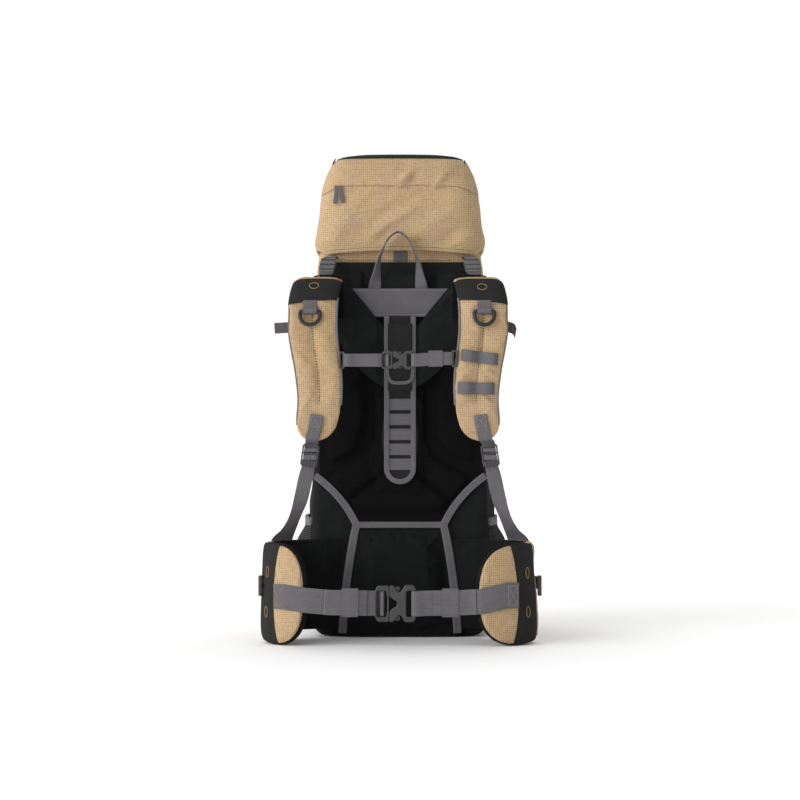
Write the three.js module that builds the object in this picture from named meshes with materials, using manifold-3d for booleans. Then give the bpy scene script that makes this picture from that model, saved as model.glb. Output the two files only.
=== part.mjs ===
// A trekking backpack that stands on its base with its harness toward -Y.
// Millimetres, +Z up, +X to the right of someone who looks at the harness.
import * as THREE from "three";
import Module from "manifold-3d";

const wasm = await Module();
wasm.setup();

// Sizes shared by many pieces
const CLOTH = 2; // wall of the bag, its lid and its pockets
const GAP = 0.4; // clearance between sewn pieces
const WEB = 1.6; // thickness of webbing
const HARNESS_WEB = 20; // width of the harness webbing
const HIP_WEB = 38; // width of the hip belt webbing
const LEFT = -1;
const RIGHT = 1;
const QUARTER = Math.PI / 2;
const UPWARD = new THREE.Vector3(0, 0, 1);
const CORNER_STEPS = 3; // facets of a rounded corner seen from above
const EDGE_POINTS = 3; // extra points along the harness edge and the far edge

// Where things stand: y is measured from the middle of the bag, then the whole part is moved
const DEPTH_SHIFT = 75.4; // brings the middle of the outer box to y = 0
const BAG_BACK = -115; // outer face of the bag's back wall
const PANEL_BACK = BAG_BACK - GAP; // back of the pads sewn to it
const STRAP_SHIFT = -3; // the harness hangs this far left of the middle

// Bag: rings from the base up to the mouth
const BAG_CORNERS = { back: 14, front: 62 };
const MOUTH_CORNERS = { back: 40, front: 62 };
const BAG_RINGS = [
  { z: 66.4, half: 138, back: BAG_BACK, front: 117, corners: BAG_CORNERS },
  { z: 130, half: 138, back: BAG_BACK, front: 121, corners: BAG_CORNERS },
  { z: 230, half: 138, back: BAG_BACK, front: 123, corners: BAG_CORNERS },
  { z: 360, half: 136.5, back: BAG_BACK, front: 123, corners: BAG_CORNERS },
  { z: 500, half: 134, back: BAG_BACK, front: 120, corners: BAG_CORNERS },
  { z: 584, half: 131, back: BAG_BACK, front: 114, corners: MOUTH_CORNERS },
  { z: 608, half: 127, back: BAG_BACK, front: 108, corners: MOUTH_CORNERS },
];
const BASE_RINGS = [
  { z: 0, half: 112, back: -100, front: 90, corners: BAG_CORNERS },
  { z: 3, half: 125, back: -110, front: 105, corners: BAG_CORNERS },
  { z: 12, half: 134, back: -114, front: 113, corners: BAG_CORNERS },
  { z: 30, half: 138, back: BAG_BACK, front: 116, corners: BAG_CORNERS },
  { z: 66, half: 138, back: BAG_BACK, front: 117, corners: BAG_CORNERS },
];

// Lid: rings from its rim up, the storm flap stands out over the zip
const LID_CORNERS = { back: 42, front: 55 };
const LID_RIM_ARCH = 9; // the rim rises this much in the middle of the harness side
const LID_CROWN = 3; // outward bulge of the harness face
const LID_RINGS = [
  { z: 598, half: 133.5, back: -124, front: 120, inside: true },
  { z: 611, half: 136, back: -128, front: 124, inside: true },
  { z: 645, half: 132.5, back: -129, front: 125, inside: true },
  { z: 685, half: 128, back: -127, front: 120, inside: true },
  { z: 711, half: 125.5, back: -124, front: 114, inside: true },
  { z: 712, half: 127.5, back: -127, front: 115, inside: false },
  { z: 726, half: 122.5, back: -122, front: 110, inside: true },
  { z: 740, half: 115.5, back: -113, front: 99, inside: true },
  { z: 750, half: 109, back: -103, front: 86, inside: true },
  { z: 756, half: 101, back: -92, front: 72, inside: true },
];
const LID_APEX = 758.5;
const LID_MIDDLE = -10; // y of its highest point
const LID_FLOOR = { z: 608.4, half: 135.5, back: -126.6, front: 123.2 }; // the lid at that height
const LID_TOP_RINGS = [
  { z: 755.9, half: 106, back: -97, front: 76 },
  { z: 761, half: 104.5, back: -95, front: 74 },
  { z: 767, half: 95, back: -84, front: 62 },
  { z: 770, half: 70, back: -58, front: 36 },
];
const LID_TOP_UNDER = [
  { z: 762, half: 80, back: -70, front: 50 },
  { z: 759, half: 100, back: -90, front: 69.5 },
  { z: 755.9, half: 103.5, back: -94.5, front: 73.5 },
];
const LID_TOP_APEX = { under: 763, over: 771 };
const ZIP_PULL_BACK = -127.5;
const ZIP_PULL = [
  [-99.5, 706], [-92.5, 706], [-86.5, 681], [-94, 680],
  [-97, 694], [-98.5, 679], [-105.5, 680.5], [-103, 697],
];
const LID_TAB = { left: -11, right: 12.5, foot: 592, top: 607 };

// Harness side: pads, panels and tape
const PAD_EDGE = 6; // height of a padded panel at its sewn edge
const PANEL_TOP = 589;
const PANEL_FOOT = 181;
const PANEL_HALF = 126;
const PANEL_PAD = 14;
const PANEL_SEAM = { flat: 9, full: 24 }; // distances from the edge where the padding starts and is full
const LUMBAR_SEAM = { flat: 9, full: 34 };
const SPINE = { pad: 18.6, half: 29, foot: 225, top: 372, slope: 12 }; // raised middle under the ladder
const CHANNEL = {
  line: [{ x: 49, z: 600 }, { x: 49, z: 312 }, { x: 58, z: 292 }, { x: 116, z: 256 }],
  depth: 8,
  middle: 3,
  border: 13,
};
const CREASE = { line: [{ x: 25, z: 258 }, { x: 78, z: 216 }], depth: 5, middle: 1, border: 8 };
const SEAM = 0.6; // half of the seam that the tape covers
const CORNER_SEAM = 1; // keeps a corner panel clear of the moulded one
const TAPE_STEPS = 8;
const TAPE_CROSS = { foot: 171.8, top: 181.4 };
const TAPE_WIDTH = 11.5;
const TAPE_BACK = -122.3;
const TAPE_FOOT = { x: 90.3, z: 6.5 };
const TAPE_JOINT = { x: 69, z: 177 };
const TAPE_SHOULDER = { x: 134, z: 254 };
const TAPE_BEND = { x: 89, z: 222 };
const CORNER_PANEL_ROWS = [110, 20]; // heights of a corner panel's rows below the curved tape
const LUMBAR_PAD = 20;
const LUMBAR_TOP = 171.5;

// Yoke, ladder and tongue
const YOKE_BACK = -132.4;
const YOKE_PAD = 7.6;
const YOKE_THIN = 2.2;
const YOKE_EDGE = 3.4;
const YOKE_FLAT = { from: 27, to: 40 }; // thin under the ladder, full this far from the middle
const YOKE_STATIONS = [
  { innerX: 0, innerZ: 474, outerX: 0, outerZ: 385.5 },
  { innerX: 15, innerZ: 478, outerX: 15, outerZ: 388.5 },
  { innerX: 27, innerZ: 489, outerX: 29, outerZ: 395 },
  { innerX: 45, innerZ: 511, outerX: 50, outerZ: 409 },
  { innerX: 60, innerZ: 529.5, outerX: 70, outerZ: 428 },
  { innerX: 74, innerZ: 546, outerX: 89, outerZ: 453 },
  { innerX: 81, innerZ: 556, outerX: 112, outerZ: 490 },
  { innerX: 88, innerZ: 566, outerX: 148, outerZ: 557 },
];
const LADDER = { half: 25.6, rail: 9.6, top: 504, foot: 240, back: -135.2, thick: 1.8 };
const RUNGS = { top: 374.6, height: 17.9, pitch: 23.4, count: 5 };
const TONGUE = { half: 18.8, top: 495, foot: 387, back: -137.5, thick: 1.8 };
const BINDING = { half: 20.4, width: 5.5, top: 450, foot: 396.8, thick: 1.6 };
const HAUL_PANEL = { topHalf: 84, footHalf: 50, top: 547.5, foot: 503, back: -130.4, thick: 1.6 };
// Haul loop: turn counts quarter turns of the webbing about its own length
const HAUL_LOOP = [
  { x: -40, y: -133.3, z: 532, turn: 0 },
  { x: -40, y: -133.5, z: 549, turn: 0 },
  { x: -38, y: -136.5, z: 568, turn: 0.45 },
  { x: -33, y: -141, z: 590, turn: 0.9 },
  { x: -25, y: -146, z: 611, turn: 1 },
  { x: -14, y: -149.5, z: 627, turn: 1 },
  { x: -3, y: -150.5, z: 633, turn: 1 },
  { x: 8, y: -149.5, z: 627, turn: 1 },
  { x: 19, y: -146, z: 611, turn: 1 },
  { x: 27, y: -141, z: 590, turn: 1.1 },
  { x: 32, y: -136.5, z: 568, turn: 1.55 },
  { x: 34, y: -133.5, z: 549, turn: 2 },
  { x: 34, y: -133.3, z: 532, turn: 2 },
];

// Shoulder pads: centre line from behind the shoulder, over it and down the front
const PAD_THICK = 14;
const PAD_STATIONS = [
  { x: 116, y: -147.8, z: 500, width: 62 },
  { x: 118, y: -148.6, z: 528, width: 68 },
  { x: 121, y: -156, z: 549, width: 74 },
  { x: 123, y: -170, z: 556, width: 76 },
  { x: 126, y: -186, z: 550.5, width: 75.5 },
  { x: 129, y: -197.5, z: 536.5, width: 74 },
  { x: 130.4, y: -203.5, z: 521, width: 73 },
  { x: 130.9, y: -210.5, z: 500, width: 72.5 },
  { x: 130.9, y: -216.5, z: 478, width: 73 },
  { x: 128.5, y: -221, z: 456.5, width: 72 },
  { x: 122.2, y: -224, z: 415.5, width: 69.5 },
  { x: 120, y: -222, z: 372.5, width: 65.5 },
  { x: 124.6, y: -218, z: 339, width: 60.5 },
  { x: 127.4, y: -215.4, z: 321, width: 46 },
  { x: 128.4, y: -214.4, z: 313.5, width: 30 },
];
const PAD_PROFILE = [
  { across: -1, out: 0 },
  { across: -0.9, out: 0.72 },
  { across: -0.45, out: 1 },
  { across: 0, out: 0.8 },
  { across: 0.45, out: 1 },
  { across: 0.9, out: 0.72 },
  { across: 1, out: 0 },
  { across: 0.86, out: -0.8 },
  { across: 0.4, out: -1 },
  { across: -0.4, out: -1 },
  { across: -0.86, out: -0.8 },
];
const PAD_FACE = 7; // the first profile points lie on the outward face
const CAP_FIRST = 3; // the cap covers these stations of the pad
const CAP_LAST = 6;

// D-rings
const RING_WIRE = 5.5;
const RING_HALF = 15; // to the middle of the wire
const RING_LEG = 6;
const RING_X = 133.5;
const TAB_WIDTH = 21.5;
const TAB_BORE = 3.3;
const TAB_WALL = 1.5;
const TAB_LEG = 15;
const TAB_TILT = -0.32; // follows the pad's lean, radians about X
const TAB_SEAT = { y: -216.1, z: 507.2 }; // point just clear of the pad face, beside the bar

// Strap hardware
const LOCK = { width: 26, height: 35, thick: 4.5, bar: 5, slot: 8, x: 139, y: -216.5, z: 287.5, lean: 0.14 };
const LIFTER_LOCK = { width: 25, height: 22, thick: 4, bar: 3.6, slot: 5, x: 112, y: -156, z: 581.9 };
const LIFTER_LEAN = 0.7; // radians that the lifter's lock leans back about X
const LOCK_CHAMFER = 3;
const LOCK_SIDE = 2.4; // width of a lock beside its slots
// Strap tail: from its stitched end on the pad down into the lock and back up behind it
const TAIL = [
  { x: 126.5, y: -229.6, z: 353 },
  { x: 128.5, y: -227.4, z: 338 },
  { x: 131, y: -224.6, z: 322 },
  { x: 134.5, y: -222, z: 309 },
  { x: 137, y: -220.9, z: 301.5 },
  { x: 137.7, y: -218, z: 296.6 },
  { x: 137.7, y: -214, z: 296.9 },
  { x: 137, y: -211.8, z: 301.5 },
  { x: 136.2, y: -211.4, z: 307 },
];
const LOAD_LIFTER = [
  { x: 110, y: -113.2, z: 595.2 },
  { x: 110, y: -125.5, z: 596.2 },
  { x: 110.3, y: -134, z: 595 },
  { x: 111, y: -146, z: 588.5 },
  { x: 112, y: -154, z: 579 },
  { x: 113.5, y: -166.5, z: 563.4 },
];
const LOWER_STRAP = [
  { x: 141.5, y: -212.6, z: 278, width: 20, turn: 0 },
  { x: 142.6, y: -211.6, z: 268, width: 20, turn: 0 },
  { x: 146.2, y: -206, z: 239, width: 20, turn: 0.1 },
  { x: 152.5, y: -199, z: 215, width: 20.5, turn: 0.25 },
  { x: 163.5, y: -187, z: 186, width: 24, turn: 0.55 },
  { x: 173.5, y: -174, z: 165, width: 32, turn: 0.8 },
  { x: 178.2, y: -163.4, z: 157, width: 40, turn: 0.92 },
];
const ELASTIC = { width: 18, thick: 1.5, standOff: 7 };
const ELASTIC_LOOPS = [
  { name: "elastic_loop_upper", fromX: 93, toX: 151, fromZ: 441.5, toZ: 434.5 },
  { name: "elastic_loop_lower", fromX: 88, toX: 145, fromZ: 391.5, toZ: 390 },
];

// Sternum strap and hip belt buckles
const STERNUM = { z: 433.2, y: -231.5, x: -3, length: 51.6, height: 27.5, thick: 8 };
const HIP = { z: 65.6, y: -271, x: -6.4, length: 62, height: 54, thick: 11 };
// Half outlines as shares of the buckle's length (from the plug's end) and height (from its middle)
const BUCKLE = {
  frame: [[0.012, 0.2], [0.03, 0.36], [0.09, 0.5], [0.365, 0.5]],
  plugSlot: [[0.06, 0.37], [0.3, 0.37], [0.325, 0.2]],
  arm: [
    [0.34, 0.24], [0.48, 0.2], [0.62, 0.34], [0.65, 0.42],
    [0.6, 0.48], [0.52, 0.47], [0.44, 0.4], [0.34, 0.4],
  ],
  skin: [
    [0.565, 0.03], [0.55, 0.08], [0.47, 0.12], [0.38, 0.22], [0.38, 0.5], [0.475, 0.5], [0.53, 0.4],
    [0.57, 0.33], [0.64, 0.31], [0.69, 0.38], [0.73, 0.46], [0.765, 0.5], [0.95, 0.5], [1, 0.43],
  ],
  core: [[0.58, 0.03], [0.58, 0.13], [0.7, 0.16], [0.7, 0.36], [0.765, 0.5], [0.95, 0.5], [1, 0.43]],
  socketSlot: [[0.785, 0.3], [0.795, 0.37], [0.9, 0.37]],
};
const BUCKLE_ARM = { from: 0.37, to: 0.63 }; // layers as shares of the buckle's thickness
const BUCKLE_CORE = { from: 0.3, to: 0.7 };
const BUCKLE_SKIN = 0.345;
const BUCKLE_BAR = 0.1; // the socket's outer bar as a share of its length
const KEEPER = { wider: 5, thicker: 2 }; // a sleeve round the webbing
const SLIDER = { width: 9, half: 13, clear: 3, railHalf: 10.6, back: 6.2, thick: 4.5 };
const SLIDERS = [
  { name: "sternum_slider_left", x: -91.5, look: "grey" },
  { name: "sternum_slider_right", x: 76.3, look: "plastic" },
];

// Hip belt wing: plan of its middle surface, from behind the tape round to the tip
const WING_PLAN = [
  { x: 70, y: -120.1 },
  { x: 82, y: -120.6 },
  { x: 112, y: -126.5 },
  { x: 150, y: -138 },
  { x: 182, y: -160 },
  { x: 201, y: -193 },
  { x: 200, y: -226 },
  { x: 181, y: -248 },
  { x: 147, y: -257 },
];
const WING_STATIONS = [
  { along: 0, thick: 2.6 },
  { along: 0.03, thick: 2.8 },
  { along: 0.09, thick: 9 },
  { along: 0.18, thick: 16 },
  { along: 0.3, thick: 18 },
  { along: 0.4, thick: 18 },
  { along: 0.5, thick: 18 },
  { along: 0.58, thick: 18 },
  { along: 0.66, thick: 18 },
  { along: 0.74, thick: 18 },
  { along: 0.81, thick: 17 },
  { along: 0.87, thick: 16 },
  { along: 0.92, thick: 15 },
  { along: 0.96, thick: 13 },
  { along: 0.985, thick: 11 },
  { along: 1, thick: 8 },
];
const WING_TOP = 152;
const WING_ROOT_FOOT = 14;
const WING_TIP_FOOT = 1;
const WING_TIP_START = 0.8; // the end is rounded from here on
const WING_EDGE = 6; // rounding of the upper and lower edges
const BAND_FIRST = 7; // wing stations covered by the dark band and by the tip pad
const BAND_LAST = 10;
const TIP_LAST = 14;
const TIP_MARGIN = 5;
const STABILISER = { first: 4, z: 94 }; // its first wing station and its height
const HIP_RUN = { clear: 0.2, tipRise: 7, tipX: 128, keeperFrom: 62, keeperTo: 88 };

// Side pockets and side strap ends
const POCKET = {
  seam: 138.5,
  back: -103,
  front: 62,
  foot: 16,
  top: 187,
  bulge: 24,
  hem: 12,
  hemWall: 1, // the hem is this much thicker
  steps: 8,
};
const SIDE_STRAP_LEFT = [
  { x: -136.9, y: 20, z: 488 },
  { x: -136.9, y: -30, z: 488 },
  { x: -148, y: -62, z: 489 },
  { x: -172, y: -78, z: 489 },
  { x: -199, y: -84, z: 488 },
];
const SIDE_STRAP_RIGHT = [
  { x: 136.9, y: 20, z: 488 },
  { x: 136.9, y: -30, z: 488 },
  { x: 150, y: -64, z: 489 },
  { x: 172, y: -80, z: 487 },
  { x: 185, y: -99, z: 482 },
];

const LOOKS = {
  tan: { color: 0xc2a67f, roughness: 0.9, metalness: 0 },
  black: { color: 0x1c1d1d, roughness: 0.92, metalness: 0 },
  mesh: { color: 0x0e0e0e, roughness: 0.95, metalness: 0 },
  dark: { color: 0x383838, roughness: 0.9, metalness: 0 },
  grey: { color: 0x6e6c6e, roughness: 0.85, metalness: 0 },
  plastic: { color: 0x333333, roughness: 0.45, metalness: 0 },
};

const pack = new THREE.Group();
pack.name = "camping_backpack";
pack.position.y = DEPTH_SHIFT;

function add(name, geometry, look) {
  const mesh = new THREE.Mesh(geometry, new THREE.MeshStandardMaterial(LOOKS[look]));
  mesh.name = name;
  pack.add(mesh);
  return mesh;
}

// Triangles collected from rings and grids of [x, y, z] points
class Surface {
  constructor() {
    this.points = [];
    this.faces = [];
  }

  add(points) {
    const first = this.points.length;
    points.forEach((point) => this.points.push(point));
    return points.map((point, i) => first + i);
  }

  bridge(lower, upper, closed) {
    const count = closed ? lower.length : lower.length - 1;
    for (let i = 0; i < count; i += 1) {
      const next = (i + 1) % lower.length;
      this.faces.push([lower[i], lower[next], upper[next]]);
      this.faces.push([lower[i], upper[next], upper[i]]);
    }
  }

  fan(ring, centre) {
    const [hub] = this.add([centre]);
    ring.forEach((corner, i) => this.faces.push([hub, corner, ring[(i + 1) % ring.length]]));
  }

  volume() {
    const corner = new THREE.Vector3();
    return this.faces.reduce((sum, face) => {
      const [a, b, c] = face.map((index) => new THREE.Vector3(...this.points[index]));
      return sum + a.dot(corner.crossVectors(b, c)) / 6;
    }, 0);
  }

  geometry() {
    const outward = this.volume() > 0;
    const faces = this.faces.map(([a, b, c]) => (outward ? [a, b, c] : [a, c, b]));
    const geometry = new THREE.BufferGeometry();
    geometry.setAttribute("position", new THREE.Float32BufferAttribute(this.points.flat(), 3));
    geometry.setIndex(faces.flat());
    geometry.computeVertexNormals();
    return geometry;
  }
}

function middle(points) {
  return [0, 1, 2].map((axis) => points.reduce((sum, point) => sum + point[axis], 0) / points.length);
}

// Closed solid through a row of rings, with a fan at each end
function loft(rings, startApex = middle(rings[0]), endApex = middle(rings[rings.length - 1])) {
  const surface = new Surface();
  const rows = rings.map((ring) => surface.add(ring));
  rows.slice(1).forEach((row, i) => surface.bridge(rows[i], row, true));
  surface.fan([...rows[0]].reverse(), startApex);
  surface.fan(rows[rows.length - 1], endApex);
  return surface.geometry();
}

// Closed band through rings that come back to the first one
function band(rings) {
  const surface = new Surface();
  const rows = rings.map((ring) => surface.add(ring));
  rows.forEach((row, i) => surface.bridge(row, rows[(i + 1) % rows.length], true));
  return surface.geometry();
}

function rim(rows) {
  const last = rows.length - 1;
  const width = rows[0].length - 1;
  const right = rows.slice(1, last).map((row) => row[width]);
  const left = rows.slice(1, last).map((row) => row[0]);
  return [...rows[0], ...right, ...[...rows[last]].reverse(), ...left.reverse()];
}

// Closed sheet between two grids of the same size
function sheet(front, back) {
  const surface = new Surface();
  const frontRows = front.map((row) => surface.add(row));
  const backRows = back.map((row) => surface.add(row));
  for (let i = 1; i < front.length; i += 1) {
    surface.bridge(frontRows[i - 1], frontRows[i], false);
    surface.bridge(backRows[i], backRows[i - 1], false);
  }
  surface.bridge(rim(backRows), rim(frontRows), true);
  return surface.geometry();
}

function grid(rows, columns, point) {
  return Array.from({ length: rows + 1 }, (unusedRow, i) =>
    Array.from({ length: columns + 1 }, (unusedColumn, j) => point(i / rows, j / columns)));
}

// Share of the way across a pad, with the first and last steps kept close to its edge
function edged(share, count, edge) {
  const step = Math.round(share * count);
  if (step === 0 || step === count) {
    return share;
  }
  return edge + ((1 - 2 * edge) * (step - 1)) / (count - 2);
}

// Padded panel: a front grid over a flat back at the given y
function pad(front, back) {
  const surface = new Surface();
  const rows = front.map((row) => surface.add(row));
  rows.slice(1).forEach((row, i) => surface.bridge(rows[i], row, false));
  const last = front.length - 1;
  const flat = front.map((row, i) => {
    const kept = i === 0 || i === last ? row : [row[0], row[row.length - 1]];
    return surface.add(kept.map(([x, y, z]) => [x, back, z]));
  });
  const rights = flat.slice(1, last).map((row) => row[1]);
  const lefts = flat.slice(1, last).map((row) => row[0]);
  const edge = [...flat[0], ...rights, ...[...flat[last]].reverse(), ...lefts.reverse()];
  surface.bridge(edge, rim(rows), true);
  for (let i = 2; i < last; i += 1) {
    surface.bridge(flat[i], flat[i - 1], false);
  }
  const width = flat[0].length - 1;
  for (let j = 0; j < width; j += 1) {
    surface.faces.push([flat[1][0], flat[0][j + 1], flat[0][j]]);
    surface.faces.push([flat[last][j], flat[last][j + 1], flat[last - 1][1]]);
  }
  surface.faces.push([flat[1][0], flat[1][1], flat[0][width]]);
  surface.faces.push([flat[last][0], flat[last - 1][1], flat[last - 1][0]]);
  return surface.geometry();
}

// Strip of webbing along a row of stations { at, across, width, thick }
function ribbon(stations) {
  const rings = stations.map((station, i) => {
    const before = stations[Math.max(i - 1, 0)].at;
    const after = stations[Math.min(i + 1, stations.length - 1)].at;
    const along = after.clone().sub(before).normalize();
    const across = station.across.clone().addScaledVector(along, -station.across.dot(along)).normalize();
    const out = along.clone().cross(across);
    const corners = [[-1, -1], [1, -1], [1, 1], [-1, 1]];
    return corners.map(([side, face]) => station.at.clone()
      .addScaledVector(across, (side * station.width) / 2)
      .addScaledVector(out, (face * station.thick) / 2)
      .toArray());
  });
  return loft(rings);
}

function vector({ x, y, z }) {
  return new THREE.Vector3(x, y, z);
}

function curveThrough(points, count) {
  return new THREE.CatmullRomCurve3(points, false, "centripetal").getSpacedPoints(count);
}

function webbing(points, count, across, width) {
  return ribbon(curveThrough(points, count).map((at) => ({ at, across, width, thick: WEB })));
}

function turned(points, clockwise) {
  const corners = points.map(([x, y]) => new THREE.Vector2(x, y));
  return THREE.ShapeUtils.isClockWise(corners) === clockwise ? corners : corners.reverse();
}

// Outline runs counterclockwise and its holes clockwise
function shapeOf(points, holes = []) {
  const shape = new THREE.Shape(turned(points, false));
  shape.holes = holes.map((hole) => new THREE.Path(turned(hole, true)));
  return shape;
}

// Plate drawn in x and z, from y = back toward the harness side
function plate(shape, back, thick) {
  const geometry = new THREE.ExtrudeGeometry(shape, { depth: thick, bevelEnabled: false, curveSegments: 5 });
  geometry.rotateX(Math.PI / 2);
  geometry.translate(0, back, 0);
  return geometry;
}

function box(x0, x1, z0, z1) {
  return [[x0, z0], [x1, z0], [x1, z1], [x0, z1]];
}

function arc(x, z, radius, from, to, steps) {
  return Array.from({ length: steps + 1 }, (unused, i) => {
    const angle = from + ((to - from) * i) / steps;
    return [x + radius * Math.cos(angle), z + radius * Math.sin(angle)];
  });
}

function toSolid(geometry) {
  const source = geometry.index ? geometry.toNonIndexed() : geometry;
  const mesh = new wasm.Mesh({
    numProp: 3,
    vertProperties: new Float32Array(source.attributes.position.array),
    triVerts: Uint32Array.from({ length: source.attributes.position.count }, (unused, i) => i),
  });
  mesh.merge();
  return new wasm.Manifold(mesh);
}

function fuse(geometries) {
  const whole = geometries.map(toSolid).reduce((sum, solid) => sum.add(solid));
  const mesh = whole.getMesh();
  const geometry = new THREE.BufferGeometry();
  geometry.setAttribute("position", new THREE.BufferAttribute(new Float32Array(mesh.vertProperties), 3));
  geometry.setIndex(new THREE.BufferAttribute(new Uint32Array(mesh.triVerts), 1));
  geometry.computeVertexNormals();
  return geometry;
}

function mirrored(geometry, side) {
  if (side === RIGHT) {
    return geometry;
  }
  const copy = geometry.clone().scale(-1, 1, 1);
  const { count } = copy.attributes.position;
  const index = copy.index ? copy.index.array : Array.from({ length: count }, (unused, i) => i);
  const flipped = [];
  for (let i = 0; i < index.length; i += 3) {
    flipped.push(index[i], index[i + 2], index[i + 1]);
  }
  copy.setIndex(flipped);
  return copy;
}

function sideName(side) {
  return side === LEFT ? "left" : "right";
}

function smooth(from, to, value) {
  return THREE.MathUtils.smoothstep(value, from, to);
}

function mix(from, to, share) {
  return THREE.MathUtils.lerp(from, to, share);
}

// Ring of a rounded box at one height, drawn in by an inset
function roundedRing({ z, half, back, front }, corners, inset = 0, crown = 0) {
  const corner = (sideX, y, sideY, radius, from) => {
    const r = radius - inset;
    const x = sideX * (half - radius);
    return arc(x, y - sideY * radius, r, from, from + QUARTER, CORNER_STEPS);
  };
  const between = (start, end, bulge) => Array.from({ length: EDGE_POINTS }, (unused, i) => {
    const share = (i + 1) / (EDGE_POINTS + 1);
    const rise = bulge * (1 - (2 * share - 1) ** 2);
    return [mix(start[0], end[0], share), mix(start[1], end[1], share) + rise];
  });
  const backRight = corner(1, back, -1, corners.back, -QUARTER);
  const frontRight = corner(1, front, 1, corners.front, 0);
  const frontLeft = corner(-1, front, 1, corners.front, QUARTER);
  const backLeft = corner(-1, back, -1, corners.back, 2 * QUARTER);
  const ring = [
    ...backRight,
    ...frontRight,
    ...between(frontRight[CORNER_STEPS], frontLeft[0], crown),
    ...frontLeft,
    ...backLeft,
    ...between(backLeft[CORNER_STEPS], backRight[0], -crown),
  ];
  return ring.map(([x, y]) => [x, y, z]);
}

function raised(ring, height) {
  return ring.map(([x, y, z]) => [x, y, z + height]);
}

function buildBag() {
  const ring = (row, inset) => roundedRing(row, row.corners, inset);
  const outer = BAG_RINGS.map((row) => ring(row, 0));
  const inner = BAG_RINGS.map((row) => ring(row, CLOTH)).reverse();
  add("bag_body", band([...outer, ...inner]), "tan");

  const trayOuter = BASE_RINGS.map((row) => ring(row, 0));
  const trayInner = BASE_RINGS.slice(1).map((row) => ring(row, CLOTH)).reverse();
  const floor = raised(trayInner[trayInner.length - 1], CLOTH - BASE_RINGS[1].z + 1);
  const tray = [...trayOuter, ...trayInner.slice(0, -1), floor];
  add("bag_base", loft(tray), "black");
}

function archedRim(ring, half) {
  return ring.map(([x, y, z]) => {
    const rise = y < 0 ? LID_RIM_ARCH * Math.max(0, 1 - (x / half) ** 2) * smooth(-60, -115, y) : 0;
    return [x, y, z + rise];
  });
}

function buildLid() {
  const ring = (row, inset) => roundedRing(row, LID_CORNERS, inset, LID_CROWN);
  const [rimRow] = LID_RINGS;
  const outer = LID_RINGS.map((row) => ring(row, 0));
  outer[0] = archedRim(outer[0], rimRow.half);
  const innerRows = LID_RINGS.filter((row) => row.inside);
  const inner = innerRows.map((row, i) => {
    const drop = CLOTH * smooth(700, 756, row.z);
    return raised(ring(row, CLOTH), i === 0 ? 0 : -drop);
  });
  inner[0] = archedRim(inner[0], rimRow.half);
  const rings = [...inner.reverse(), ...outer];
  const apex = (z) => [0, LID_MIDDLE, z];
  add("lid_cap", loft(rings, apex(LID_APEX - CLOTH), apex(LID_APEX)), "tan");

  const underside = roundedRing(LID_FLOOR, LID_CORNERS, CLOTH + GAP);
  add("lid_floor", loft([underside, raised(underside, CLOTH)]), "tan");

  const topRing = (row) => roundedRing(row, LID_CORNERS, 0, LID_CROWN);
  const panel = [...LID_TOP_UNDER.map(topRing), ...LID_TOP_RINGS.map(topRing)];
  add("lid_top_panel", loft(panel, apex(LID_TOP_APEX.under), apex(LID_TOP_APEX.over)), "black");

  add("zip_pull", plate(shapeOf(ZIP_PULL), ZIP_PULL_BACK, WEB), "grey");
  const tab = shapeOf(box(LID_TAB.left, LID_TAB.right, LID_TAB.foot, LID_TAB.top));
  add("lid_tab", plate(tab, BAG_BACK - GAP, WEB), "grey");
}

// Edge of the moulded back panel and of the tapes, on the right side
function tapeX(z) {
  return mix(TAPE_FOOT.x, TAPE_JOINT.x, (z - TAPE_FOOT.z) / (TAPE_JOINT.z - TAPE_FOOT.z));
}

function tapeCurve(count) {
  const curve = new THREE.QuadraticBezierCurve(
    new THREE.Vector2(TAPE_SHOULDER.x, TAPE_SHOULDER.z),
    new THREE.Vector2(TAPE_BEND.x, TAPE_BEND.z),
    new THREE.Vector2(TAPE_JOINT.x, TAPE_JOINT.z),
  );
  return curve.getPoints(count);
}

function panelHalf(z) {
  const curve = tapeCurve(24);
  if (z >= TAPE_SHOULDER.z) {
    return PANEL_HALF;
  }
  const next = curve.findIndex((point) => point.y <= z);
  const upper = curve[Math.max(next - 1, 0)];
  const lower = curve[Math.max(next, 1)];
  const share = (upper.y - z) / (upper.y - lower.y);
  return Math.min(PANEL_HALF, mix(upper.x, lower.x, THREE.MathUtils.clamp(share, 0, 1)) - SEAM);
}

function distanceToLine(x, z, points) {
  let best = Infinity;
  points.slice(1).forEach((end, i) => {
    const start = points[i];
    const dx = end.x - start.x;
    const dz = end.z - start.z;
    const share = ((x - start.x) * dx + (z - start.z) * dz) / (dx * dx + dz * dz);
    const t = THREE.MathUtils.clamp(share, 0, 1);
    best = Math.min(best, Math.hypot(x - start.x - t * dx, z - start.z - t * dz));
  });
  return best;
}

// Depth of a groove pressed into the pad, fading from its middle to its border
function grooveDepth({ line, depth, middle: full, border }, x, z) {
  return depth * (1 - smooth(full, border, distanceToLine(Math.abs(x), z, line)));
}

function panelHeight(x, z) {
  const toEdge = Math.min(panelHalf(z) - Math.abs(x), PANEL_TOP - z, z - PANEL_FOOT);
  const beside = 1 - smooth(SPINE.half, SPINE.half + SPINE.slope, Math.abs(x));
  const under = 1 - smooth(SPINE.top, SPINE.top + SPINE.slope, z);
  const spine = beside * under * smooth(SPINE.foot, SPINE.foot + SPINE.slope, z);
  const groove = Math.max(grooveDepth(CHANNEL, x, z), grooveDepth(CREASE, x, z));
  const full = mix(PANEL_PAD, SPINE.pad, spine) - groove;
  return mix(PAD_EDGE, Math.max(full, PAD_EDGE), smooth(PANEL_SEAM.flat, PANEL_SEAM.full, toEdge));
}

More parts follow.
